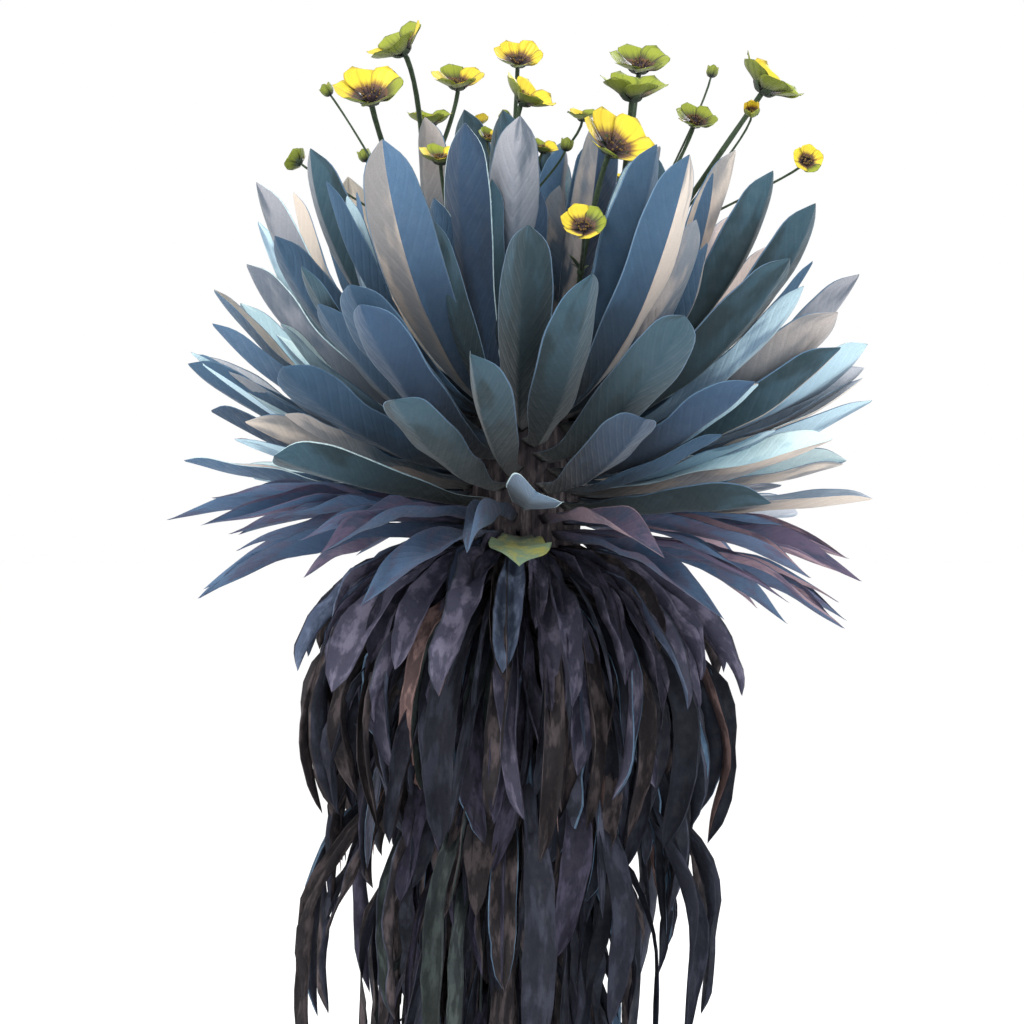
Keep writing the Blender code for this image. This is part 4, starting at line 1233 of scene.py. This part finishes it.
def filling_blades(level, seed):
    """The dead leaves of one row between the levels."""
    draw = Random(seed)
    blades = []
    for i in range(level.leaves):
        azimuth = FULL_TURN * (i + draw.uniform(-ROW_AZIMUTH, ROW_AZIMUTH)) / level.leaves
        height = level.height + draw.uniform(-ROW_HEIGHT, ROW_HEIGHT)
        length = level.length * draw.uniform(*ROW_LENGTH)
        width = level.width * draw.uniform(*(STRIP_WIDTHS if draw.random() < NARROW_SHARE else ROW_WIDTH))
        blade = dead_blade(level, azimuth, height, length, width, draw, ROW_SPREAD)
        if draw.random() < KINKED_SHARE:
            kink = draw.uniform(*KINK_START)
            foot, tip = (math.radians(draw.uniform(*ends)) for ends in KINK_SLOPES)
            length *= KINK_LENGTH
            blade = blade._replace(length=length, slope_foot=foot, slope_tip=tip, bend=KINK_BEND, kink=kink)
        if height < WORN_HEIGHT and WORN_BAND[0] < abs(tip_of(blade)[0]) < WORN_BAND[1]:
            blade = blade._replace(length=length * WORN_LENGTH, bend=min(1.0, blade.bend / WORN_LENGTH))
        blades.append(blade)
    return blades


def add_level(mass, number):
    """Grows the leaves of one skirt level into a mass, and gives the nodes that they stand for."""
    nodes = []
    for sector, letter in enumerate("abc"):
        nodes.append(f"skirt_{number}_{letter}")
        start = math.radians(SECTOR_STEP * number) + FULL_TURN * sector / SKIRT_SECTORS
        blades = level_blades(SKIRT_LEVELS[number - 1], start, LEVEL_SEEDS * number + sector)
        blades = [blade._replace(width=blade.width * ROLLED_UP[number - 1]) for blade in blades]
        weights = TOP_WEIGHTS if number == 1 else DEAD_WEIGHTS
        add_dead(mass, blades, weights, LEVEL_SEED + LEVEL_SEEDS * number + SECTOR_SEEDS * sector)
    return nodes


def dead_leaves():
    """Three pieces of dead leaves, from the top of the skirt down."""
    rows = list(enumerate(FILLING_LEVELS))
    for name, levels, floor_height in SKIRT_PIECES:
        mass = Mass()
        nodes = [node for number in levels for node in add_level(mass, number)]
        while rows and rows[0][1].height > floor_height:
            row, level = rows.pop(0)
            weights = TOP_WEIGHTS if row < TOP_ROWS else DEAD_WEIGHTS
            add_dead(mass, filling_blades(level, ROW_SHAPE_SEED + row), weights, ROW_SEED + ROW_SEEDS * row)
        finish_piece(mass.join(name, tissues(WITHERED, DEAD_TINTS)), nodes)


def add_dead(mass, blades, weights, seed):
    """Grows dead leaves into a mass, each with tints dealt by the weights, and near-black tints as painted
    shade on the shaded side.
    """
    for i, blade in enumerate(blades, seed):
        draw = Random(i)
        azimuth = (blade.azimuth + FULL_TURN / 2) % FULL_TURN - FULL_TURN / 2
        dealt = weights
        # Painted shade: low leaves on the leaning side in front are dealt near-black tints
        if tip_of(blade)[2] < SHADED_TIP and SHADED_AZIMUTH[0] < azimuth < SHADED_AZIMUTH[1]:
            dealt = SHADED_WEIGHTS
        elif blade.width < STRIP_WIDTH:
            dealt = STRIP_WEIGHTS
        tint, back = draw.choices(range(len(DEAD_TINTS)), dealt, k=2)
        edge = draw.choices((tint, *PALE_EDGES), DEAD_EDGE_WEIGHTS)[0]
        add_leaf(mass, blade, DEAD_FORM, DEAD_CUT, plain_palette(tint, back, edge), 2 * i)


# Trunk

BARK_TURNS = 180
BARK_ROWS = 420
# Noises of the bark: the cells of each round the trunk and along it
BARK_NOISES = ((46, 14), (90, 30), (160, 200))
# Depths in metres of its furrows, its strips, its grain and the scars of old leaf bases
BARK_DEPTHS = (0.0050, 0.0022, 0.0012, 0.0012)
# Rings of scars up the trunk, how far they wander and how often round it, and how narrow they are
SCAR_RINGS = 34
SCAR_WANDER = 0.35
SCAR_WAVES = 8
SCAR_NARROWNESS = 6
# Its streaks: how they are stretched, their noise's scale, detail and roughness, their tints from dark to
# pale, and the ends between which each tint passes into the next
BARK_STRETCH = (1.0, 1.0, 0.09)
BARK_STREAKS = (130.0, 5.0, 0.6)
BARK_TINTS = ((30, 28, 35), (63, 57, 60), (122, 112, 113))
BARK_STEPS = ((0.32, 0.52), (0.50, 0.74))


def bark_relief(turn, rise):
    """How far the bark stands out from the trunk's profile, in metres: it only goes in."""
    furrows, strips, grain = (
        lattice_noise(turn, rise, *cells, BARK_SEED + i) for i, cells in enumerate(BARK_NOISES)
    )
    wander = SCAR_WANDER * np.sin(FULL_TURN * SCAR_WAVES * turn)
    scars = np.abs(np.sin(FULL_TURN * (rise * SCAR_RINGS + wander))) ** SCAR_NARROWNESS
    deep, middling, fine, scarred = BARK_DEPTHS
    return -deep * (1 - furrows) ** 2 - middling * strips - fine * grain - scarred * scars


def trunk_wall(turn, rise):
    """Points of the trunk's wall. Its foot is cut level once the plant leans."""
    height = rise * TRUNK_PROFILE[-1][0]
    azimuth = FULL_TURN * turn
    fade = np.clip(1 - height / ROOT_LOBE_HEIGHT, 0, 1) ** 2
    flare = 1 + ROOT_LOBE_DEPTH * fade * np.cos(ROOT_LOBES * azimuth + np.sin(azimuth))
    radius = between(TRUNK_PROFILE, height) * flare + bark_relief(turn, rise)
    x, y = radius * np.cos(azimuth), radius * np.sin(azimuth)
    z = height + x * math.tan(LEAN) * np.clip(1 - height / TRUNK_PROFILE[1][0], 0, 1)
    return np.stack((x, y, z), -1).reshape(-1, 3)


def bark():
    """The trunk with furrowed bark, a flat foot on the ground and a short tip."""
    turn, rise = np.meshgrid(np.arange(BARK_TURNS) / BARK_TURNS, np.linspace(0, 1, BARK_ROWS))
    centre = np.array((UP * 0, UP * TRUNK_PROFILE[-1][0]))
    points = np.vstack((trunk_wall(turn, rise), np.repeat(centre, BARK_TURNS, axis=0)))
    ring = np.arange(BARK_TURNS)
    after = np.roll(ring, -1)
    last = (BARK_ROWS - 1) * BARK_TURNS
    foot = BARK_ROWS * BARK_TURNS
    top = foot + BARK_TURNS
    under = np.stack((after, ring, foot + ring, foot + after), -1)
    over = np.stack((last + ring, last + after, top + after, top + ring), -1)
    faces = np.concatenate((grid_faces(BARK_ROWS, BARK_TURNS, wrap=True), halved(under), halved(over)))
    along = np.concatenate((rise.reshape(-1), np.zeros(2 * BARK_TURNS)))
    mass = Mass()
    mass.add(points, faces, np.zeros(len(faces)), along, np.zeros(len(points)), 0.5)
    finish_piece(mass.join("bark", [bark_material()]), ["trunk"])


def bark_material():
    """Dark brown bark with long pale and dark streaks along the trunk."""
    material, tree, shader = new_material("bark", BARK_SPECULAR)
    stretched = add_node(tree, "ShaderNodeMapping")
    feed(tree, stretched.inputs["Vector"], add_node(tree, "ShaderNodeTexCoord").outputs["Object"])
    stretched.inputs["Scale"].default_value = BARK_STRETCH
    streaks = noise(tree, stretched.outputs["Vector"], *BARK_STREAKS)
    colour, *others = (srgb(*tint) for tint in BARK_TINTS)
    for ends, tint in zip(BARK_STEPS, others):
        colour = blend(tree, ramp(tree, streaks, *ends), colour, tint)
    roughness = ramp(tree, streaks, *NOISE_BAND, *BARK_ROUGHNESS)
    link_surface(tree, shader, colour, roughness, streaks, *BARK_RELIEF)
    return material


# Flowers

PETAL_ROWS = 15
PETAL_COLUMNS = 9
PETAL_THICKNESS = 0.0007
YELLOW, PAINTED_SHADE_PETAL, BLOTCH, PETAL_BACK = 0, 1, 2, 3
# So many petals are lime green, a painted shade of the yellow
PAINTED_SHADE_SHARE = 0.28
# These flowers, by stalk and place on it, have most of their petals lime green, a painted shade of the yellow
SHADED_FLOWERS = (("right", 0), ("right", 1), ("back_right", 0), ("far_right", 0))
SHADED_FLOWER_SHARE = 0.85
# This flower is yellow all over, with no petals in painted shade
UNSHADED_FLOWER = ("front_right", 0)
# How far up a petal its inside is blotched
BLOTCH_REACH = 0.50
# How far petals reach, how much shorter some are, and how far up or down their tips open, in flower radii
PETAL_REACH = 1.04
PETAL_SHORTENING = 0.06
PETAL_OPENING = (-0.10, 0.06)
# How wide a petal spreads along its length, as a share of its even part of the turn
PETAL_SPREAD = ((0.0, 1.15), (0.30, 1.18), (0.60, 1.24), (0.84, 1.12), (0.95, 0.78), (1.0, 0.22))
# How far one margin of a petal lies over the next petal and the other under it, in flower radii
PETAL_OVERLAP = 0.05
# A petal sags along its middle and its margins ruffle, both in flower radii, with so many ruffles
PETAL_SAG = 0.08
RUFFLE_DEPTH = 0.04
RUFFLES = 1.3
RUFFLE_SLANT = 2.0
# A petal is flat across its tip, so its margins lie further in than a circle's would, by this share
PETAL_FLATNESS = 0.35
# How far the rays of a flower's heart differ in length, as a share of the petal
RAY_LENGTH = 0.34
# The scales of a petal's streaks across and along it, and the ends between which they show on its rim
PETAL_STREAKS = (7.0, 0.6)
PETAL_STREAK_ENDS = (0.5, 0.8)


def cup_of(flower):
    """The kind of cup that a flower of this width has."""
    return next(cup for cup in CUPS if flower.width >= cup.least_width)


def grid(rows, columns):
    """Places along a sheet, from 0 to 1, and across it, from -1 to 1."""
    return np.linspace(0, 1, rows)[:, None], np.linspace(-1, 1, columns)[None]


def petal_zones(a, u):
    """The triangles of a petal, and which of them are its back and which its blotched foot."""
    faces, _ = sheet_faces(PETAL_ROWS, PETAL_COLUMNS)
    along = sheet_marks(np.broadcast_arrays(a, u)[0])
    back = (faces >= PETAL_ROWS * PETAL_COLUMNS).any(axis=1)
    return faces, back, ~back & (along[faces].mean(axis=1) < BLOTCH_REACH)


def add_petals(mass, flower, shade_share, seed):
    """A ring of broad pointed petals, each a thin closed sheet with a ruffled margin."""
    cup = cup_of(flower)
    draw = Random(seed)
    place, axis, radius = seat(flower)
    start, turned = spokes_of(flower, 4)[:2]
    a, u = grid(PETAL_ROWS, PETAL_COLUMNS)
    marks = [sheet_marks(values) for values in np.broadcast_arrays(a, u)]
    faces, back, blotched = petal_zones(a, u)
    wide, high = np.array(cup.outline).T
    knots = np.linspace(0, 1, len(wide))
    for i in range(cup.petals):
        opening = draw.uniform(*PETAL_OPENING)
        shortening = PETAL_SHORTENING * draw.random()
        reach = smoothly_between(np.stack((knots, wide), 1), a) * (PETAL_REACH - shortening)
        rise = smoothly_between(np.stack((knots, high), 1), a) + opening * a**2
        spread = smoothly_between(PETAL_SPREAD, a) * math.pi / cup.petals
        angle = FULL_TURN * i / cup.petals + spread * u
        wave = np.sin(FULL_TURN * (RUFFLES * a + draw.random()) + RUFFLE_SLANT * u)
        height = rise + PETAL_OVERLAP * u + RUFFLE_DEPTH * wave * u**2 * a
        height = height - PETAL_SAG * a * (1 - u**2) * (1 - a)
        spoke = start * np.cos(angle)[..., None] + turned * np.sin(angle)[..., None]
        shrink = np.cos(spread) / np.cos(spread * u) * PETAL_FLATNESS + (1 - PETAL_FLATNESS)
        middle = place + (spoke * (reach * shrink)[..., None] + axis * height[..., None]) * radius
        thick = axis * (PETAL_THICKNESS / 2 * (1 - np.abs(u) ** 3) * np.ones_like(a))[..., None]
        # Painted shade: some petals take the lime tint instead of the yellow
        kinds = np.full(len(faces), PAINTED_SHADE_PETAL if draw.random() < shade_share else YELLOW)
        kinds[blotched] = BLOTCH
        kinds[back] = PETAL_BACK
        mass.add(sheet_points(middle + thick, middle - thick), faces, kinds, *marks, draw.random())


def petal_material(name, heart, rim, streak, start, end):
    """Petal tissue that runs from a dark heart to a bright rim, with fine streaks along it.

    The start and the end are where the heart begins to fade and where it has faded, along the petal.
    """
    material, tree, shader = new_material(name, PETAL_SPECULAR, sheen_weight=0.1)
    streaks = noise(tree, leaf_space(tree, *PETAL_STREAKS), 1.0, 4.0)
    reach = calculate(tree, "MULTIPLY_ADD", streaks, -RAY_LENGTH, mark(tree, "along"))
    rays = ramp(tree, reach, start - RAY_LENGTH / 2, end - RAY_LENGTH / 2)
    lined = blend(tree, ramp(tree, streaks, *PETAL_STREAK_ENDS), srgb(*rim), srgb(*streak))
    colour = blend(tree, rays, srgb(*heart), lined)
    roughness = ramp(tree, streaks, *NOISE_BAND, *PETAL_ROUGHNESS)
    link_surface(tree, shader, colour, roughness, streaks, *PETAL_RELIEF)
    return material


# The heart is a dome: its radius, height and how far it sinks into the cup, in flower radii. Stamens stand
# on it: their number, length in flower radii, place as a share of the dome's radius, and lean outward
HEART_RADIUS = 0.17
HEART_HEIGHT = 0.16
HEART_SINK = 0.02
STAMENS = 18
STAMEN_LENGTH = (0.20, 0.34)
STAMEN_PLACE = (0.3, 0.9)
STAMEN_LEAN = (0.3, 1.1)
# The thickness of a stamen at least, in metres, and as a share of the flower's radius
STAMEN_RADIUS = 0.0005
STAMEN_SHARE = 0.012
# The knob on its tip: the radius of each ring, in radii of the stamen
KNOB_RINGS = np.array((1.4, 2.6, 2.4, 1.0))
ANTHER = 1


def add_heart(mass, flower, seed):
    """The dark middle of a flower: a low dome with a ring of stamens on it."""
    draw = Random(seed)
    place, axis, radius = seat(flower)
    base = place + axis * radius * (cup_of(flower).outline[1][1] - HEART_SINK)
    dome = np.linspace(0, 1, 6)
    points = np.array([base + axis * radius * HEART_HEIGHT * h for h in dome])
    add_tube(mass, points, radius * HEART_RADIUS * rounded(dome, 0.02), 12)
    stem = max(STAMEN_RADIUS, radius * STAMEN_SHARE)
    for spoke in spokes_of(flower, STAMENS):
        lean = draw.uniform(*STAMEN_LEAN)
        length = radius * draw.uniform(*STAMEN_LENGTH)
        root = base + spoke * radius * HEART_RADIUS * draw.uniform(*STAMEN_PLACE)
        tip = root + unit(axis + spoke * lean) * length
        add_tube(mass, np.linspace(root, tip, 3), np.full(3, stem), 4)
        knob = np.linspace(tip - axis * stem * 2, tip + axis * stem * 3, len(KNOB_RINGS))
        add_tube(mass, knob, stem * KNOB_RINGS, 5, ANTHER)


# Sepals stand round a flower's foot: their number, the grid of each, its thickness and its material
SEPALS = 6
SEPAL_GRID = (7, 5)
SEPAL_THICKNESS = 0.0010
SEPAL_GREEN = 1
# In flower radii: how far out a sepal starts, how far it reaches on from there and how much further some
# do, how far below the flower it starts and rises from there, with a power, and its half width
SEPAL_START, SEPAL_REACH, SEPAL_EXTRA = 0.10, 0.30, 0.10
SEPAL_DEPTH, SEPAL_RISE, SEPAL_RISE_POWER, SEPAL_HALF_WIDTH = 0.40, 0.30, 1.6, 0.15
# Its outline is a hump: where it starts and how much of the hump it has
SEPAL_HUMP = (0.15, 0.82)


def hump(a, start, part):
    """The width of a small leaf along its length: a part of a blunt hump."""
    return np.sin(np.pi * (start + part * a)) ** 0.8


def add_sepals(mass, flower, seed):
    """Small green leaves round the foot of a flower."""
    draw = Random(seed)
    place, axis, radius = seat(flower)
    a, u = grid(*SEPAL_GRID)
    for spoke in spokes_of(flower, SEPALS):
        reach = radius * (SEPAL_START + (SEPAL_REACH + SEPAL_EXTRA * draw.random()) * a)
        rise = radius * (-SEPAL_DEPTH + SEPAL_RISE * a**SEPAL_RISE_POWER)
        half = radius * SEPAL_HALF_WIDTH * hump(a, *SEPAL_HUMP)
        middle = place + spoke * reach[..., None] + axis * rise[..., None]
        middle = middle + np.cross(axis, spoke) * (half * u)[..., None]
        add_green(mass, middle, axis, SEPAL_THICKNESS, a, u, draw.random())


def add_green(mass, middle, face, thickness, a, u, tone):
    """Adds a small green leaf by its middle surface, thickened along its face and sharp at its margins."""
    thick = (thickness / 2 * (1 - np.abs(u)) * np.ones_like(a))[..., None]
    palette = plain_palette(SEPAL_GREEN, SEPAL_GREEN, SEPAL_GREEN)
    mass.add_sheet(middle + face * thick, middle - face * thick, palette, a, u, tone)


# Bracts stand at a stalk's fork: their number, the grid of each, its slope in degrees, its outline, and
# its length, half width, droop, hollow and thickness in metres
BRACTS = 3
BRACT_GRID = (8, 5)
BRACT_SLOPE = (35, 60)
BRACT_HUMP = (0.12, 0.86)
BRACT_LENGTH = (0.016, 0.028)
BRACT_HALF_WIDTH = 0.0042
BRACT_DROOP = 0.004
BRACT_HOLLOW = 0.0012
BRACT_THICKNESS = 0.0008


def add_bracts(mass, fork, seed):
    """A few small pointed leaves at a fork of a stalk."""
    draw = Random(seed)
    a, u = grid(*BRACT_GRID)
    for _ in range(BRACTS):
        out = outward(draw.random() * FULL_TURN)
        slope = math.radians(draw.uniform(*BRACT_SLOPE))
        length = draw.uniform(*BRACT_LENGTH)
        heading = unit(out * math.cos(slope) + UP * math.sin(slope))
        side = unit(np.cross(UP, out))
        face = np.cross(heading, side)
        half = BRACT_HALF_WIDTH * hump(a, *BRACT_HUMP)
        middle = fork + heading * (length * a)[..., None] + side * (half * u)[..., None]
        middle = middle - face * (BRACT_DROOP * a**2)[..., None]
        middle = middle + face * (BRACT_HOLLOW * u**2 * np.ones_like(a))[..., None]
        add_green(mass, middle, face, BRACT_THICKNESS, a, u, draw.random())


STEM_SIDES = 8
# A stalk's thickness swells and shrinks by this share, with so many radians from ring to ring
SWELLING = 0.06
SWELLING_STEP = 1.9
KNUCKLE_RINGS = 7
KNUCKLE_FLATNESS = 0.8


def add_stalk(mass, stalk, seed):
    """The forked stem of a stalk with its knuckle and its bracts."""
    for line, foot, end in stalk_runs(stalk, finer=4):
        swell = np.linspace(foot, end, len(line))
        swell = swell * (1 + SWELLING * np.sin(np.arange(len(line)) * SWELLING_STEP))
        add_tube(mass, line, swell, STEM_SIDES)
    fork = np.array(stalk.fork)
    t = np.linspace(-1, 1, KNUCKLE_RINGS)
    knuckle = fork + np.outer(t, UP) * KNUCKLE_RADIUS
    add_tube(mass, knuckle, KNUCKLE_RADIUS * KNUCKLE_FLATNESS * rounded(t, 0.05), STEM_SIDES)
    add_bracts(mass, fork, seed)


# Petals: heart, rim, streaks, and where along the petal the heart begins to fade and has faded
PETAL_TINTS = (
    ("petal_yellow", (126, 92, 44), (230, 206, 54), (208, 168, 44), 0.48, 0.70),
    # The lime petals are the yellow in painted shade
    ("petal_painted_shade", (66, 62, 40), (146, 158, 46), (104, 124, 40), 0.46, 0.84),
    ("petal_blotch", (34, 25, 38), (128, 92, 58), (64, 44, 52), 0.22, 0.66),
    ("petal_back", (30, 34, 44), (126, 138, 44), (80, 98, 42), 0.10, 0.82),
)
# Hearts and stems, like leaves: body, foot, tip and streaks
HEART_TINTS = (
    ("flower_heart", (44, 32, 42), (38, 28, 38), (54, 40, 46), (80, 60, 60)),
    ("anther", (84, 62, 44), (60, 44, 40), (90, 66, 40), (200, 170, 70)),
)
STEM_TINTS = (
    ("stalk_green", (50, 66, 48), (58, 64, 54), (46, 62, 44), (74, 88, 62)),
    ("sepal_green", (46, 58, 46), (38, 46, 42), (66, 80, 52), (76, 90, 68)),
)


def flowers():
    """Petals, hearts and stalks of every flower, each kind joined into one piece."""
    petals, hearts, stems = Mass(), Mass(), Mass()
    for number, stalk in enumerate(STALKS):
        for i, flower in enumerate(stalk.flowers):
            shade_share = SHADED_FLOWER_SHARE if (stalk.name, i) in SHADED_FLOWERS else PAINTED_SHADE_SHARE
            if (stalk.name, i) == UNSHADED_FLOWER:
                shade_share = 0.0
            seed = STALK_SEEDS * number + i
            add_petals(petals, flower, shade_share, PETAL_SEED + seed)
            add_heart(hearts, flower, HEART_SEED + seed)
            add_sepals(stems, flower, SEPAL_SEED + seed)
        add_stalk(stems, stalk, BRACT_SEED + number)
    pieces = (
        petals.join("petals", [petal_material(*tints) for tints in PETAL_TINTS]),
        hearts.join("flower_hearts", tissues(STEM, HEART_TINTS)),
        stems.join("flower_stems", tissues(STEM, STEM_TINTS)),
    )
    for piece in pieces:
        finish_piece(piece, [f"flower_stalk_{stalk.name}" for stalk in STALKS])


def finish_piece(piece, nodes):
    """Binds a piece to the plant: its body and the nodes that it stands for."""
    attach(piece, "root")
    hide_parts(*nodes)


# Stage

# The floor shines as much as it swallows, so that far off it is as bright as the background
FLOOR_GLOW = 0.045


def floor():
    """A wide pale floor."""
    bpy.ops.mesh.primitive_circle_add(vertices=96, radius=40.0, fill_type="NGON", location=(0, 0, 0))
    ground = bpy.context.object
    ground.name = "floor"
    material, _, shader = new_material("floor", 0.1, base_color=(0.96, 0.96, 0.96, 1.0), roughness=0.9)
    set_sockets(shader, emission_color=WHITE, emission_strength=FLOOR_GLOW)
    ground.data.materials.append(material)


def area_light(name, place, aim, size, power, colour):
    """A round lamp, with its size in metres and its power in watts."""
    light = bpy.data.lights.new(name, "AREA")
    light.shape = "DISK"
    light.size = size
    light.energy = power
    light.color = colour
    lamp = bpy.data.objects.new(name, light)
    bpy.context.scene.collection.objects.link(lamp)
    lamp.location = place
    lamp.rotation_euler = (Vector(aim) - Vector(place)).to_track_quat("-Z", "Y").to_euler()


# Lamps: a broad key from the upper left, and weaker ones behind, on the right and in front. Each has its
# place, what it is aimed at, its size, power and colour
LAMPS = (
    ("key", (-1.9, -2.2, 3.6), (0.05, 0.0, 1.2), 1.4, 84.0, (1.0, 0.98, 0.95)),
    ("back", (1.8, 2.4, 3.2), (0.05, 0.0, 1.2), 1.4, 60.0, (0.92, 0.96, 1.0)),
    ("right", (2.4, -2.2, 2.2), (0.15, 0.0, 1.45), 1.2, 30.0, (0.92, 0.96, 1.0)),
    ("front", (0.2, -3.8, 0.9), (0.05, 0.0, 0.9), 1.2, 14.0, (0.92, 0.95, 1.0)),
)
WHITE = (1.0, 1.0, 1.0, 1.0)


def studio():
    """Soft white light from all round, with lamps."""
    world = bpy.data.worlds.new("studio")
    world.use_nodes = True
    set_sockets(world.node_tree.nodes["Background"], color=WHITE, strength=1.0)
    bpy.context.scene.world = world
    for lamp in LAMPS:
        area_light(*lamp)
    bpy.context.scene.view_settings.view_transform = "Standard"


def camera():
    """The photograph's camera: level, in front of the plant."""
    view = bpy.data.cameras.new("camera")
    view.sensor_width = SENSOR
    view.lens = SENSOR * abs(CAMERA_PLACE[1]) / FRAME_WIDTH
    stand = bpy.data.objects.new("camera", view)
    bpy.context.scene.collection.objects.link(stand)
    stand.location = CAMERA_PLACE
    stand.rotation_euler = (math.radians(90), 0, 0)
    bpy.context.scene.camera = stand


def grow():
    """The whole plant."""
    obstacles = stalk_obstacles()
    bark()
    dead_leaves()
    fading_leaves(obstacles)
    live_leaves(obstacles)
    flowers()


camera()
floor()
studio()
grow()
